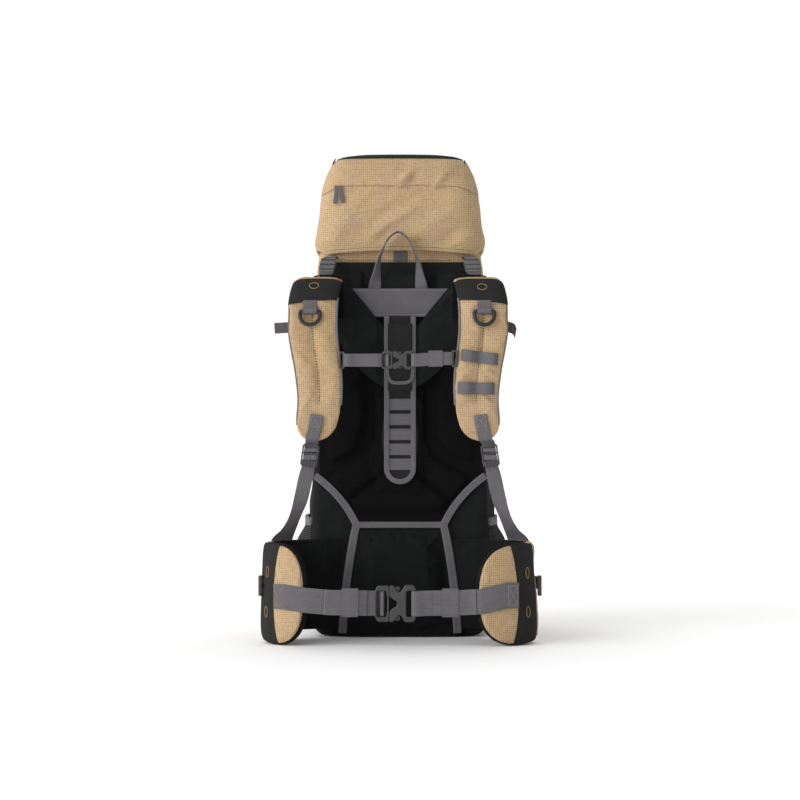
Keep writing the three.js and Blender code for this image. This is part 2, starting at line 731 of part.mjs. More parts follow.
function buildBackPanel() {
  const rows = 19;
  const columns = 18;
  const front = grid(rows, columns, (u, v) => {
    const z = mix(PANEL_TOP, PANEL_FOOT, edged(u, rows, 0.02));
    const x = panelHalf(z) * (2 * edged(v, columns, 0.04) - 1);
    return [x, PANEL_BACK - panelHeight(x, z), z];
  });
  add("back_panel", pad(front, PANEL_BACK), "mesh");

  const steps = 9;
  const lumbar = grid(steps, steps, (u, v) => {
    const z = mix(LUMBAR_TOP, TAPE_FOOT.z, edged(u, steps, 0.05));
    const half = tapeX(z) - SEAM;
    const x = half * (2 * edged(v, steps, 0.05) - 1);
    const toEdge = Math.min(half - Math.abs(x), LUMBAR_TOP - z, z - TAPE_FOOT.z);
    const rise = smooth(LUMBAR_SEAM.flat, LUMBAR_SEAM.full, toEdge);
    return [x, PANEL_BACK - mix(PAD_EDGE, LUMBAR_PAD, rise), z];
  });
  add("lumbar_pad", pad(lumbar, PANEL_BACK), "black");
}

// The bag's back wall turns round its corner in flat steps
function bagBackAt(x) {
  const corner = roundedRing(BAG_RINGS[0], BAG_CORNERS).slice(0, CORNER_STEPS + 1);
  const next = corner.findIndex((point) => point[0] > x);
  if (next <= 0) {
    return BAG_BACK;
  }
  const [fromX, fromY] = corner[next - 1];
  const [toX, toY] = corner[next];
  return mix(fromY, toY, (x - fromX) / (toX - fromX));
}

function buildCornerPanels() {
  const far = TAPE_SHOULDER.x;
  const flatEnd = BAG_RINGS[0].half - BAG_CORNERS.back;
  const curve = tapeCurve(TAPE_STEPS - 1).filter((point) => point.x < flatEnd - CLOTH);
  const lower = CORNER_PANEL_ROWS.map((z) => new THREE.Vector2(tapeX(z), z));
  const edge = [...curve, ...lower];
  const firstStep = roundedRing(BAG_RINGS[0], BAG_CORNERS)[1][0];
  const at = (depth) => edge.map((point) => {
    const start = point.x + CORNER_SEAM;
    const columns = [start, mix(start, flatEnd, 0.5), flatEnd, firstStep, far];
    return columns.map((x) => [x, bagBackAt(x) - GAP - depth, point.y - CORNER_SEAM]);
  });
  [LEFT, RIGHT].forEach((side) => {
    add(`corner_panel_${sideName(side)}`, mirrored(sheet(at(CLOTH), at(0)), side), "black");
  });
}

// Flat strip drawn in x and z along a row of points
function strip(points, width) {
  const sides = points.map((point, i) => {
    const before = points[Math.max(i - 1, 0)];
    const after = points[Math.min(i + 1, points.length - 1)];
    const along = after.clone().sub(before).normalize().multiplyScalar(width / 2);
    return { left: [point.x - along.y, point.y + along.x], right: [point.x + along.y, point.y - along.x] };
  });
  return shapeOf([...sides.map((side) => side.left), ...sides.map((side) => side.right).reverse()]);
}

function buildSeamTape() {
  const foot = new THREE.Vector2(TAPE_FOOT.x, TAPE_FOOT.z);
  const run = strip([...tapeCurve(TAPE_STEPS), foot], TAPE_WIDTH);
  const right = plate(run, TAPE_BACK, WEB);
  const level = box(-TAPE_JOINT.x, TAPE_JOINT.x, TAPE_CROSS.foot, TAPE_CROSS.top);
  const cross = plate(shapeOf(level), TAPE_BACK, WEB);
  add("seam_tape", fuse([right, mirrored(right, LEFT), cross]), "grey");
}

function buildYoke() {
  const right = YOKE_STATIONS.slice(1);
  const left = right.map((row) => ({ ...row, innerX: -row.innerX, outerX: -row.outerX })).reverse();
  const stations = [...left, ...YOKE_STATIONS];
  const across = 6;
  const front = stations.map((row, i) => Array.from({ length: across + 1 }, (unused, j) => {
    const x = mix(row.innerX, row.outerX, j / across);
    const z = mix(row.innerZ, row.outerZ, j / across);
    const edge = j === 0 || j === across || i === 0 || i === stations.length - 1;
    const thick = edge ? YOKE_EDGE : YOKE_PAD;
    const away = smooth(YOKE_FLAT.from, YOKE_FLAT.to, Math.abs(x));
    return [x, YOKE_BACK - mix(YOKE_THIN, thick, away), z];
  }));
  add("yoke", pad(front, YOKE_BACK), "dark");
}

function buildLadder() {
  const { half, rail, top, foot, back, thick } = LADDER;
  const clear = half - rail;
  const bend = foot + half;
  const outline = [
    ...arc(0, bend, half, -Math.PI, 0, 10), [half, top], [clear, top],
    [clear, RUNGS.top], [-clear, RUNGS.top], [-clear, top], [-half, top],
  ];
  const slots = Array.from({ length: RUNGS.count - 1 }, (unused, i) => {
    const rungFoot = RUNGS.top - i * RUNGS.pitch - RUNGS.height;
    return box(-clear, clear, RUNGS.top - (i + 1) * RUNGS.pitch, rungFoot);
  });
  const lastFoot = RUNGS.top - (RUNGS.count - 1) * RUNGS.pitch - RUNGS.height;
  const bite = Math.asin((bend - lastFoot) / clear);
  slots.push(arc(0, bend, clear, Math.PI + bite, 2 * Math.PI - bite, 6));
  add("ladder", plate(shapeOf(outline, slots), back, thick), "grey");
}

function buildTongue() {
  const outline = shapeOf(box(-TONGUE.half, TONGUE.half, TONGUE.foot, TONGUE.top));
  const flap = plate(outline, TONGUE.back, TONGUE.thick);
  const inner = BINDING.half - BINDING.width;
  const bindingBend = BINDING.foot + BINDING.half;
  const binding = shapeOf([
    ...arc(0, bindingBend, BINDING.half, -Math.PI, 0, 8), [BINDING.half, BINDING.top], [inner, BINDING.top],
    ...arc(0, bindingBend, inner, 0, -Math.PI, 8), [-inner, BINDING.top], [-BINDING.half, BINDING.top],
  ]);
  const sunk = 0.2; // depth of the binding's back in the flap, so the two join
  const raisedBinding = plate(binding, TONGUE.back - TONGUE.thick + sunk, BINDING.thick + sunk);
  add("tongue", fuse([flap, raisedBinding]), "dark");
}

function buildHaulPanel() {
  const { topHalf, footHalf, top, foot, back, thick } = HAUL_PANEL;
  const panel = shapeOf([[-footHalf, foot], [footHalf, foot], [topHalf, top], [-topHalf, top]]);
  add("haul_panel", plate(panel, back, thick), "grey");
}

// The loop lies flat where it is sewn on and turns edge-on toward its top
function buildHaulLoop() {
  const stations = HAUL_LOOP.map(({ x, y, z, turn }) => {
    const angle = turn * QUARTER;
    const across = new THREE.Vector3(Math.cos(angle), Math.sin(angle), 0);
    return { at: new THREE.Vector3(x, y, z), across, width: HARNESS_WEB, thick: WEB };
  });
  add("haul_loop", ribbon(stations), "grey");
}

// Frames along a shoulder pad: across is +X, out points away from the shoulder
function padFrames(side) {
  return PAD_STATIONS.map((row, i) => {
    const before = PAD_STATIONS[Math.max(i - 1, 0)];
    const after = PAD_STATIONS[Math.min(i + 1, PAD_STATIONS.length - 1)];
    const along = new THREE.Vector2(after.y - before.y, after.z - before.z).normalize();
    return {
      x: side * row.x + STRAP_SHIFT,
      y: row.y,
      z: row.z,
      outY: along.y,
      outZ: -along.x,
      half: row.width / 2,
    };
  });
}

function padRing(frame, profile, grow) {
  const thick = PAD_THICK / 2 + grow;
  return profile.map(({ across, out }) => [
    frame.x + across * (frame.half + grow),
    frame.y + frame.outY * out * thick,
    frame.z + frame.outZ * out * thick,
  ]);
}

function buildShoulderPads() {
  [LEFT, RIGHT].forEach((side) => {
    const frames = padFrames(side);
    const rings = frames.map((frame) => padRing(frame, PAD_PROFILE, 0));
    add(`shoulder_pad_${sideName(side)}`, loft(rings), "tan");
    const face = PAD_PROFILE.slice(0, PAD_FACE);
    const covered = frames.slice(CAP_FIRST, CAP_LAST + 1);
    const cover = (grow) => covered.map((frame) => padRing(frame, face, grow));
    add(`strap_cap_${sideName(side)}`, sheet(cover(GAP + WEB), cover(GAP)), "dark");
  });
}

// Tab that holds the D-ring's bar, drawn from the side: a leg with an eye at its foot
function tabShape() {
  const outer = TAB_BORE + TAB_WALL;
  const meet = Math.acos((outer - TAB_WALL) / outer);
  const eye = arc(-outer, 0, outer, meet, 2 * Math.PI, 11);
  const bore = arc(-outer, 0, TAB_BORE, 0, 2 * Math.PI, 12).slice(0, -1);
  return shapeOf([[0, TAB_LEG], [-TAB_WALL, TAB_LEG], ...eye], [bore]);
}

function ringGeometry() {
  const centres = [
    [RING_HALF, 0], ...arc(0, -RING_LEG, RING_HALF, 0, -Math.PI, 9), [-RING_HALF, 0],
  ];
  const turn = 2.2; // corners of the bar
  const path = [
    [-RING_HALF + turn, turn * 0.8], [0, turn * 0.8], [RING_HALF - turn, turn * 0.8], ...centres,
  ].map(([x, z]) => new THREE.Vector3(x, 0, z - turn * 0.8));
  const facets = 8;
  const rings = path.map((at, i) => {
    const before = path[(i + path.length - 1) % path.length];
    const after = path[(i + 1) % path.length];
    const along = after.clone().sub(before).normalize();
    const side = new THREE.Vector3(along.z, 0, -along.x);
    return arc(0, 0, RING_WIRE / 2, 0, 2 * Math.PI, facets).slice(0, -1)
      .map(([across, deep]) => [at.x + side.x * across, at.y + deep, at.z + side.z * across]);
  });
  return band(rings);
}

function buildRings() {
  [LEFT, RIGHT].forEach((side) => {
    const seat = new THREE.Group();
    seat.position.set(side * RING_X + STRAP_SHIFT, TAB_SEAT.y, TAB_SEAT.z);
    seat.rotation.x = TAB_TILT;
    pack.add(seat);
    const tab = new THREE.ExtrudeGeometry(tabShape(), { depth: TAB_WIDTH, bevelEnabled: false });
    tab.applyMatrix4(new THREE.Matrix4().makeBasis(
      new THREE.Vector3(0, 1, 0), new THREE.Vector3(0, 0, 1), new THREE.Vector3(1, 0, 0),
    ));
    tab.translate(-TAB_WIDTH / 2, 0, 0);
    seat.add(add(`d_ring_tab_${sideName(side)}`, tab, "grey"));
    const ring = add(`d_ring_${sideName(side)}`, ringGeometry(), "plastic");
    ring.position.y = -TAB_BORE - TAB_WALL;
    seat.add(ring);
  });
}

// Plate with two slots, standing in x and z about its own centre
function lockGeometry({ width, height, thick, bar, slot }) {
  const w = width / 2;
  const h = height / 2;
  const shortW = w - LOCK_CHAMFER;
  const shortH = h - LOCK_CHAMFER;
  const outline = [
    [-shortW, -h], [shortW, -h], [w, -shortH], [w, shortH],
    [shortW, h], [-shortW, h], [-w, shortH], [-w, -shortH],
  ];
  const clear = w - LOCK_SIDE;
  const upper = box(-clear, clear, h - bar - slot, h - bar);
  const lower = box(-clear, clear, -h + bar, -h + bar + slot);
  return plate(shapeOf(outline, [upper, lower]), thick / 2, thick);
}

function buildStrapEnds() {
  [LEFT, RIGHT].forEach((side) => {
    const name = sideName(side);
    const across = new THREE.Vector3(1, 0, Math.tan(LOCK.lean));
    const tail = webbing(TAIL.map(vector), 14, across, HARNESS_WEB);
    tail.translate(side * STRAP_SHIFT, 0, 0);
    add(`strap_tail_${name}`, mirrored(tail, side), "grey");

    const lock = lockGeometry(LOCK);
    lock.rotateY(-LOCK.lean);
    lock.translate(LOCK.x + side * STRAP_SHIFT, LOCK.y, LOCK.z);
    add(`ladder_lock_${name}`, mirrored(lock, side), "plastic");

    const lower = LOWER_STRAP.map((row) => {
      const swing = row.turn * 0.9;
      return {
        at: vector(row).add(new THREE.Vector3(side * STRAP_SHIFT * (1 - row.turn), 0, 0)),
        across: new THREE.Vector3(Math.cos(swing), -Math.sin(swing), 0.2 * (1 - row.turn)),
        width: row.width,
        thick: WEB,
      };
    });
    add(`lower_strap_${name}`, mirrored(ribbon(lower), side), "grey");
  });
}

function padFaceAt(x, z) {
  const rows = PAD_STATIONS.slice(CAP_LAST);
  const next = Math.max(1, rows.findIndex((row) => row.z <= z));
  const share = (rows[next - 1].z - z) / (rows[next - 1].z - rows[next].z);
  const pick = (key) => mix(rows[next - 1][key], rows[next][key], share);
  const across = Math.min(1, Math.abs(x - pick("x")) / (pick("width") / 2));
  const out = across < 0.45 ? 1 : mix(1, 0.72, (across - 0.45) / 0.45);
  return pick("y") - (PAD_THICK / 2) * Math.max(out, 0);
}

function buildElasticLoops() {
  ELASTIC_LOOPS.forEach(({ name, fromX, toX, fromZ, toZ }) => {
    const stations = [0, 0.03, 0.1, 0.25, 0.5, 0.75, 0.9, 0.97, 1].map((share) => {
      const x = mix(fromX, toX, share);
      const z = mix(fromZ, toZ, share);
      const lift = ELASTIC.standOff * smooth(0, 0.12, Math.min(share, 1 - share));
      const foot = padFaceAt(x, z) - GAP - ELASTIC.thick;
      const at = new THREE.Vector3(x + STRAP_SHIFT, foot - lift, z);
      return { at, across: new THREE.Vector3(0, 0, 1), width: ELASTIC.width, thick: ELASTIC.thick };
    });
    add(name, ribbon(stations), "grey");
  });
}

function buildLoadLifters() {
  [LEFT, RIGHT].forEach((side) => {
    const name = sideName(side);
    const strap = webbing(LOAD_LIFTER.map(vector), 8, new THREE.Vector3(1, 0, 0), HARNESS_WEB);
    add(`load_lifter_${name}`, mirrored(strap, side), "grey");
    const lock = lockGeometry(LIFTER_LOCK);
    lock.rotateX(-LIFTER_LEAN);
    lock.translate(LIFTER_LOCK.x, LIFTER_LOCK.y, LIFTER_LOCK.z);
    add(`lifter_lock_${name}`, mirrored(lock, side), "plastic");
  });
}

// Side-release buckle about its own centre: u runs along it from the plug, v across it
function buckle({ length, height, thick }) {
  const at = ([u, v]) => [(u - 0.5) * length, v * height];
  const both = (points) => {
    const under = points.map(([u, v]) => [u, -v]).reverse();
    return [...points, ...under].map(at);
  };
  const layer = (points, holes, from, to) =>
    plate(shapeOf(points, holes), thick / 2 - from * thick, (to - from) * thick);
  const { arm } = BUCKLE;
  const plug = fuse([
    layer(both(BUCKLE.frame), [both(BUCKLE.plugSlot)], 0, 1),
    layer(arm.map(at), [], BUCKLE_ARM.from, BUCKLE_ARM.to),
    layer(arm.map(([u, v]) => at([u, -v])), [], BUCKLE_ARM.from, BUCKLE_ARM.to),
  ]);
  const skin = both(BUCKLE.skin);
  const slot = both(BUCKLE.socketSlot);
  const socket = fuse([
    layer(skin, [slot], 0, BUCKLE_SKIN),
    layer(both(BUCKLE.core), [slot], BUCKLE_CORE.from, BUCKLE_CORE.to),
    layer(skin, [slot], 1 - BUCKLE_SKIN, 1),
  ]);
  return { plug, socket };
}

function addBuckle(prefix, size) {
  const { plug, socket } = buckle(size);
  [plug, socket].forEach((half) => half.translate(size.x, size.y, size.z));
  add(`${prefix}_plug`, plug, "plastic");
  add(`${prefix}_socket`, socket, "plastic");
}

// Webbing that ends in a buckle; keepers are places where a sleeve goes round it
function buckleWeb(points, width, count, keeper) {
  const curve = curveThrough(points.map(vector), count);
  const stations = curve.map((at) => ({ at, across: UPWARD, width, thick: WEB }));
  const inSleeve = ({ at }) => at.x > keeper.from && at.x < keeper.to && at.y < keeper.front;
  stations.filter((station) => keeper && inSleeve(station)).forEach((station) => {
    station.width = width + KEEPER.wider;
    station.thick = WEB + KEEPER.thicker;
  });
  return ribbon(stations);
}

function buildSternumStrap() {
  const { x, y, z, length, thick } = STERNUM;
  addBuckle("sternum", STERNUM);
  const start = x - length / 2;
  const end = x + length / 2;
  const behind = y + thick / 2 + GAP + WEB / 2;
  const front = y - thick / 2 - GAP - WEB / 2;
  const [sliderLeft, sliderRight] = SLIDERS;
  const left = [
    { x: sliderLeft.x + SLIDER.width + GAP, y: y + 3, z },
    { x: -68, y: behind - 1, z },
    { x: start - 4, y: behind, z },
    { x: start + 3.4, y: behind, z },
    { x: start + 8, y: behind - 2.6, z },
    { x: start + 9.6, y: y - 0.6, z },
    { x: start + 12, y: y - 2, z },
    { x: start + 13.4, y: y + 0.6, z },
  ];
  add("sternum_web_left", buckleWeb(left, HARNESS_WEB, 18, null), "grey");
  const bar = end - BUCKLE_BAR * length;
  const right = [
    { x: end + 16, y: behind + 0.2, z },
    { x: end + 2, y: behind, z },
    { x: bar, y: behind, z },
    { x: bar - 2, y: behind - 1.6, z },
    { x: bar - 2.2, y, z },
    { x: bar - 2, y: front + 1.6, z },
    { x: bar, y: front, z },
    { x: end + 1, y: front, z },
    { x: end + 8, y: front + 2, z },
    { x: 46, y: y - 1, z },
    { x: 62, y: y + 1, z },
    { x: sliderRight.x - GAP, y: y + 3, z },
  ];
  const keeper = { from: 42, to: 64, front: behind - 1 };
  add("sternum_web_right", buckleWeb(right, HARNESS_WEB, 30, keeper), "grey");
  SLIDERS.forEach(({ name, x: from, look }) => {
    const { width, half, clear, railHalf } = SLIDER;
    const rail = box(from + clear, from + width - clear, z - railHalf, z + railHalf);
    const frame = shapeOf(box(from, from + width, z - half, z + half), [rail]);
    add(name, plate(frame, y + SLIDER.back, SLIDER.thick), look);
  });
}

// Plan of the wing's middle surface: place and outward direction at a share of its length
const wingCurve = new THREE.CatmullRomCurve3(
  WING_PLAN.map(({ x, y }) => new THREE.Vector3(x, y, 0)), false, "centripetal",
);

function wingAt(along, offset) {
  const at = wingCurve.getPointAt(along);
  const tangent = wingCurve.getTangentAt(along);
  return { x: at.x - tangent.y * offset, y: at.y + tangent.x * offset };
}

function wingSpan(along) {
  const foot = mix(WING_ROOT_FOOT, WING_TIP_FOOT, smooth(0.35, 0.85, along));
  if (along <= WING_TIP_START) {
    return { foot, top: WING_TOP };
  }
  const share = (along - WING_TIP_START) / (1.012 - WING_TIP_START);
  const half = ((WING_TOP - WING_TIP_FOOT) / 2) * Math.sqrt(1 - share ** 2);
  const centre = (WING_TOP + WING_TIP_FOOT) / 2;
  return { foot: Math.max(foot, centre - half), top: centre + half };
}

function wingRing({ along, thick }) {
  const { foot, top } = wingSpan(along);
  const edge = Math.min(WING_EDGE, (top - foot) / 4);
  const levels = [
    { z: foot, share: 0.4 },
    { z: foot + edge, share: 1 },
    { z: (foot + top) / 2, share: 1 },
    { z: top - edge, share: 1 },
    { z: top, share: 0.4 },
  ];
  const point = (z, offset) => {
    const { x, y } = wingAt(along, offset);
    const slant = (tapeX(z) + SEAM - TAPE_JOINT.x) * (1 - smooth(0, 0.3, along));
    return [x + slant, y, z];
  };
  const outer = levels.map(({ z, share }) => point(z, (share * thick) / 2));
  const inner = levels.map(({ z, share }) => point(z, (-share * thick) / 2)).reverse();
  return [...outer, ...inner];
}

// Cover on the wing's outer face, between two stations
function wingCover(first, last, margin, levels) {
  const rows = WING_STATIONS.slice(first, last + 1);
  const at = (extra) => rows.map(({ along, thick }) => {
    const { foot, top } = wingSpan(along);
    const { x, y } = wingAt(along, thick / 2 + extra);
    const lower = foot + margin;
    return Array.from({ length: levels + 1 }, (unused, j) => [x, y, mix(lower, top - margin, j / levels)]);
  });
  return sheet(at(GAP + CLOTH), at(GAP));
}

function buildHipBelt() {
  [LEFT, RIGHT].forEach((side) => {
    const name = sideName(side);
    add(`belt_wing_${name}`, mirrored(loft(WING_STATIONS.map(wingRing)), side), "black");
    add(`belt_band_${name}`, mirrored(wingCover(BAND_FIRST, BAND_LAST, WING_EDGE + 0.5, 2), side), "dark");
    add(`belt_tip_${name}`, mirrored(wingCover(BAND_LAST, TIP_LAST, TIP_MARGIN, 2), side), "tan");

    const straps = WING_STATIONS.slice(STABILISER.first, BAND_FIRST).map(({ along, thick }) => {
      const { x, y } = wingAt(along, thick / 2 + GAP + WEB / 2);
      const at = new THREE.Vector3(x, y, STABILISER.z);
      return { at, across: UPWARD, width: HARNESS_WEB, thick: WEB };
    });
    add(`stabiliser_${name}`, mirrored(ribbon(straps), side), "grey");
  });
}

function buildHipStrap() {
  addBuckle("hip", HIP);
  const { x, y, z, length, thick } = HIP;
  const start = x - length / 2;
  const end = x + length / 2;
  const behind = y + thick / 2 + GAP + WEB / 2;
  const front = y - thick / 2 - GAP - WEB / 2;
  const onTip = WING_STATIONS.slice(BAND_LAST, TIP_LAST + 1).map(({ along, thick: wing }) => {
    const stack = wing / 2 + GAP + CLOTH + GAP + WEB / 2;
    return { ...wingAt(along, stack + HIP_RUN.clear), z: z + HIP_RUN.tipRise };
  });
  const left = [
    ...onTip.map((point) => ({ ...point, x: -point.x })),
    { x: -HIP_RUN.tipX, y: y + 2, z: z + 6 },
    { x: start - 14, y: behind - 1, z: z + 0.5 },
    { x: start - 3, y: behind, z },
    { x: start + 4, y: behind, z },
    { x: start + 9, y: behind - 3.6, z },
    { x: start + 10.6, y: y - 1, z },
    { x: start + 13.6, y: y - 2.6, z },
    { x: start + 15.4, y: y + 1, z },
  ];
  const keeper = { from: HIP_RUN.keeperFrom, to: HIP_RUN.keeperTo };
  const leftKeeper = { from: -keeper.to, to: -keeper.from, front: 0 };
  add("hip_web_left", buckleWeb(left, HIP_WEB, 36, leftKeeper), "grey");
  const bar = end - BUCKLE_BAR * length;
  const right = [
    { x: end + 26, y: behind + 0.2, z },
    { x: end + 2, y: behind, z },
    { x: bar, y: behind, z },
    { x: bar - 3.1, y: behind - 1.3, z },
    { x: bar - 3.4, y, z },
    { x: bar - 3.1, y: front + 1.3, z },
    { x: bar, y: front, z },
    { x: end + 2, y: front, z },
    { x: end + 12, y: front + 2.6, z },
    { x: keeper.from + 2, y: y - 1, z: z + 2 },
    { x: HIP_RUN.tipX, y: y + 2, z: z + 6 },
    ...[...onTip].reverse(),
  ];
  add("hip_web_right", buckleWeb(right, HIP_WEB, 46, { ...keeper, front: behind - 2 }), "grey");
}

// A pocket swells away from the bag and is drawn in at its hem, which stands open at the top
function buildPockets() {
  const { seam, back, front, foot, top, bulge, hem, hemWall, steps } = POCKET;
  const lastBelowHem = (steps - 1) / steps;
  const at = (wall, hemExtra) => grid(steps, steps, (u, v) => {
    const inHem = u > lastBelowHem;
    const z = inHem ? top : mix(foot, top - hem, u / lastBelowHem);
    const swell = Math.sin(Math.PI * v) ** 0.7;
    const drawnIn = mix(1, 0.6, smooth(0.7, 1, u));
    const rise = u === 0 ? 0 : smooth(-0.1, 0.7, u) * drawnIn;
    const hemRow = u >= lastBelowHem;
    return [seam + bulge * swell * rise + wall + (hemRow ? hemExtra : 0), mix(back, front, v), z];
  });
  [LEFT, RIGHT].forEach((side) => {
    const pocket = sheet(at(CLOTH, hemWall), at(0, 0));
    add(`side_pocket_${sideName(side)}`, mirrored(pocket, side), "mesh");
  });
}

function buildSideStraps() {
  const run = (points) => webbing(points.map(vector), 8, UPWARD, HARNESS_WEB);
  add("side_strap_left", run(SIDE_STRAP_LEFT), "grey");
  add("side_strap_right", run(SIDE_STRAP_RIGHT), "grey");
}

buildBag();
buildLid();
buildBackPanel();
buildCornerPanels();
buildSeamTape();
buildYoke();
buildLadder();
buildTongue();
buildHaulPanel();
buildHaulLoop();
buildShoulderPads();
buildRings();
buildStrapEnds();
buildElasticLoops();
buildLoadLifters();
buildSternumStrap();
buildHipBelt();
buildHipStrap();
buildPockets();
buildSideStraps();

export default pack;
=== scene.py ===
# %% [markdown]
# # A trekking backpack, seen from its harness side
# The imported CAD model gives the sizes, the hard shapes and the parts that move. This lesson dresses it:
# sewn cloth, foam and webbing take the place of the plain soft solids, and moulded plastic gets soft
# edges. Everything stays in the CAD frame, with +Z up and the harness toward -Y.

import math

import bmesh
import bpy
import numpy as np
from mathutils import Matrix, Vector
from mathutils.bvhtree import BVHTree


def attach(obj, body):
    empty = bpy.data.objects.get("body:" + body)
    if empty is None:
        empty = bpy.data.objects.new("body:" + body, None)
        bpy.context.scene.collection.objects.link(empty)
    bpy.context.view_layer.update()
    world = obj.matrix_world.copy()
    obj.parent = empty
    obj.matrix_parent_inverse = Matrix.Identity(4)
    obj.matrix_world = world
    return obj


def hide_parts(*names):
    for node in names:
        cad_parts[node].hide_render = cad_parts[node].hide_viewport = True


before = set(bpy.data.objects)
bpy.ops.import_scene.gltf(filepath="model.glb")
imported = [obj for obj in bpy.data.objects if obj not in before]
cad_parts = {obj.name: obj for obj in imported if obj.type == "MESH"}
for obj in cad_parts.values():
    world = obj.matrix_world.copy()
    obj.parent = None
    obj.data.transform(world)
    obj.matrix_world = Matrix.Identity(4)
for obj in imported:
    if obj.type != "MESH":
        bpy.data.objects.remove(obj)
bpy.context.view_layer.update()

# %% [markdown]
# A finish is a small formula. `Wire` wraps a socket so that sums and products of sockets read like
# ordinary arithmetic, and `Finish` holds one material: `node` adds a node, sets what it is, then its
# inputs, and hands back one of its outputs.

# %% Arithmetic on shader sockets
class Wire:
    """A socket that can be added, multiplied and compared."""

    def __init__(self, graph, socket):
        self.graph, self.socket = graph, socket

    def math(self, operation, *others):
        return self.graph.math(operation, self, *others)

    def output(self, name):
        return Wire(self.graph, self.socket.node.outputs[name])

    def __add__(self, other):
        return self.math("ADD", other)

    def __sub__(self, other):
        return self.math("SUBTRACT", other)

    def __rsub__(self, other):
        return self.graph.math("SUBTRACT", other, self)

    def __mul__(self, other):
        return self.math("MULTIPLY", other)

    def __truediv__(self, other):
        return self.math("DIVIDE", other)

    def __rtruediv__(self, other):
        return self.graph.math("DIVIDE", other, self)

    def __pow__(self, other):
        return self.math("POWER", other)

    def __mod__(self, other):
        return self.math("FLOORED_MODULO", other)

    def __gt__(self, other):
        return self.math("GREATER_THAN", other)

    def __lt__(self, other):
        return self.math("LESS_THAN", other)

    def __abs__(self):
        return self.math("ABSOLUTE")

    def floor(self):
        return self.math("FLOOR")

    def hump(self):
        """0 at each whole number and 1 half way between them."""
        return abs((self * math.pi).math("SINE"))

    def ease(self, start, end):
        """0 before the start, 1 after the end, and a straight line between them."""
        return ((self - start) / (end - start)).math("MAXIMUM", 0).math("MINIMUM", 1)

    __radd__ = __add__
    __rmul__ = __mul__


class Graph:
    """Nodes in one shader tree."""

    def __init__(self, tree):
        self.tree = tree

    def node(self, kind, settings=None, inputs=None, output=0):
        node = self.tree.nodes.new(kind)
        for key, value in (settings or {}).items():
            setattr(node, key, value)
        for key, value in (inputs or {}).items():
            if isinstance(value, Wire):
                self.tree.links.new(value.socket, node.inputs[key])
            else:
                node.inputs[key].default_value = value
        return Wire(self, node.outputs[output])

    def math(self, operation, *values):
        return self.node("ShaderNodeMath", {"operation": operation}, dict(enumerate(values)))

    def mix(self, share, a, b):
        return self.node("ShaderNodeMix", {"data_type": "RGBA"}, {0: share, 6: a, 7: b}, output=2)

    def noise(self, u, v, detail=2.0):
        place = self.node("ShaderNodeCombineXYZ", inputs={0: u, 1: v})
        return self.node("ShaderNodeTexNoise", inputs={"Vector": place, "Scale": 1.0, "Detail": detail})

    def split(self, vector):
        parts = self.node("ShaderNodeSeparateXYZ", inputs={0: vector})
        return [parts.output(i) for i in range(3)]


class Finish(Graph):
    """One material of the lesson and the slot it belongs to."""

    def __init__(self, name, slot, **constants):
        self.slot = slot
        self.material = bpy.data.materials.new(name)
        self.material.use_nodes = True
        super().__init__(self.material.node_tree)
        self.shader = self.tree.nodes["Principled BSDF"]
        for socket, value in constants.items():
            self.shader.inputs[socket.replace("_", " ")].default_value = value

    def feed(self, socket, wire):
        self.tree.links.new(wire.socket, self.shader.inputs[socket])

    def bump(self, height, depth, strength=1.0):
        inputs = {"Height": height, "Distance": depth, "Strength": strength}
        self.feed("Normal", self.node("ShaderNodeBump", inputs=inputs))

    def on_strip(self):
        """Lengths across and along a strip of cloth, in millimetres."""
        held = self.node("ShaderNodeAttribute", {"attribute_name": "cloth"}, output="Vector")
        return self.split(held)[:2]

    def on_body(self):
        """Lengths over the nearest of the three main planes, in millimetres."""
        x, y, z = (part * 1000 for part in self.split(self.node("ShaderNodeTexCoord", output="Object")))
        facing = self.node("ShaderNodeTexCoord", output="Normal")
        a, b, c = (abs(part) for part in self.split(facing))
        side = (a > b) * (a > c)
        top = (c > a) * (c > b)
        return x + (y - x) * side, z + (y - z) * top


def srgb(red, green, blue):
    """A colour as read from a screen, from 0 to 255, in the linear values that shaders use."""
    shares = [value / 255 for value in (red, green, blue)]
    return tuple(s / 12.92 if s < 0.04045 else ((s + 0.055) / 1.055) ** 2.4 for s in shares) + (1,)


print("shader arithmetic ready")

# %% [markdown]
# The tan cloth is a coarse nylon with a square grid: thicker threads every few millimetres, each with
# slubs, so lines fade in and out. A pure image would repeat; noise stretched along each thread does not.

# %% Cloth finishes
def tan_cloth():
    finish = Finish("tan_cloth", "tan_cloth", Roughness=0.92, Specular_IOR_Level=0.12)
    pitch = 3.0
    u, v = (length / pitch for length in finish.on_body())
    over = (u.floor() + v.floor()) % 2
    warp = finish.noise((u + 0.5).floor() * 5.3, v * 0.3)
    weft = finish.noise(u * 0.3 + 40, (v + 0.5).floor() * 5.3)
    tone = (warp + (weft - warp) * over).ease(0.25, 0.75)
    open_warp, open_weft = warp.ease(0.3, 0.7), weft.ease(0.3, 0.7)
    gap = ((1 - u.hump()) ** 2 * open_warp + (1 - v.hump()) ** 2 * open_weft).math("MINIMUM", 1)
    cloud = finish.noise(u * 0.03, v * 0.03, 3.0)
    light = finish.mix(tone * 0.4 + cloud * 0.6, srgb(174, 147, 113), srgb(209, 182, 145))
    finish.feed("Base Color", finish.mix(gap, light, srgb(116, 92, 66)))
    finish.bump(tone * 0.3 - gap, 0.0004, 0.7)
    return finish


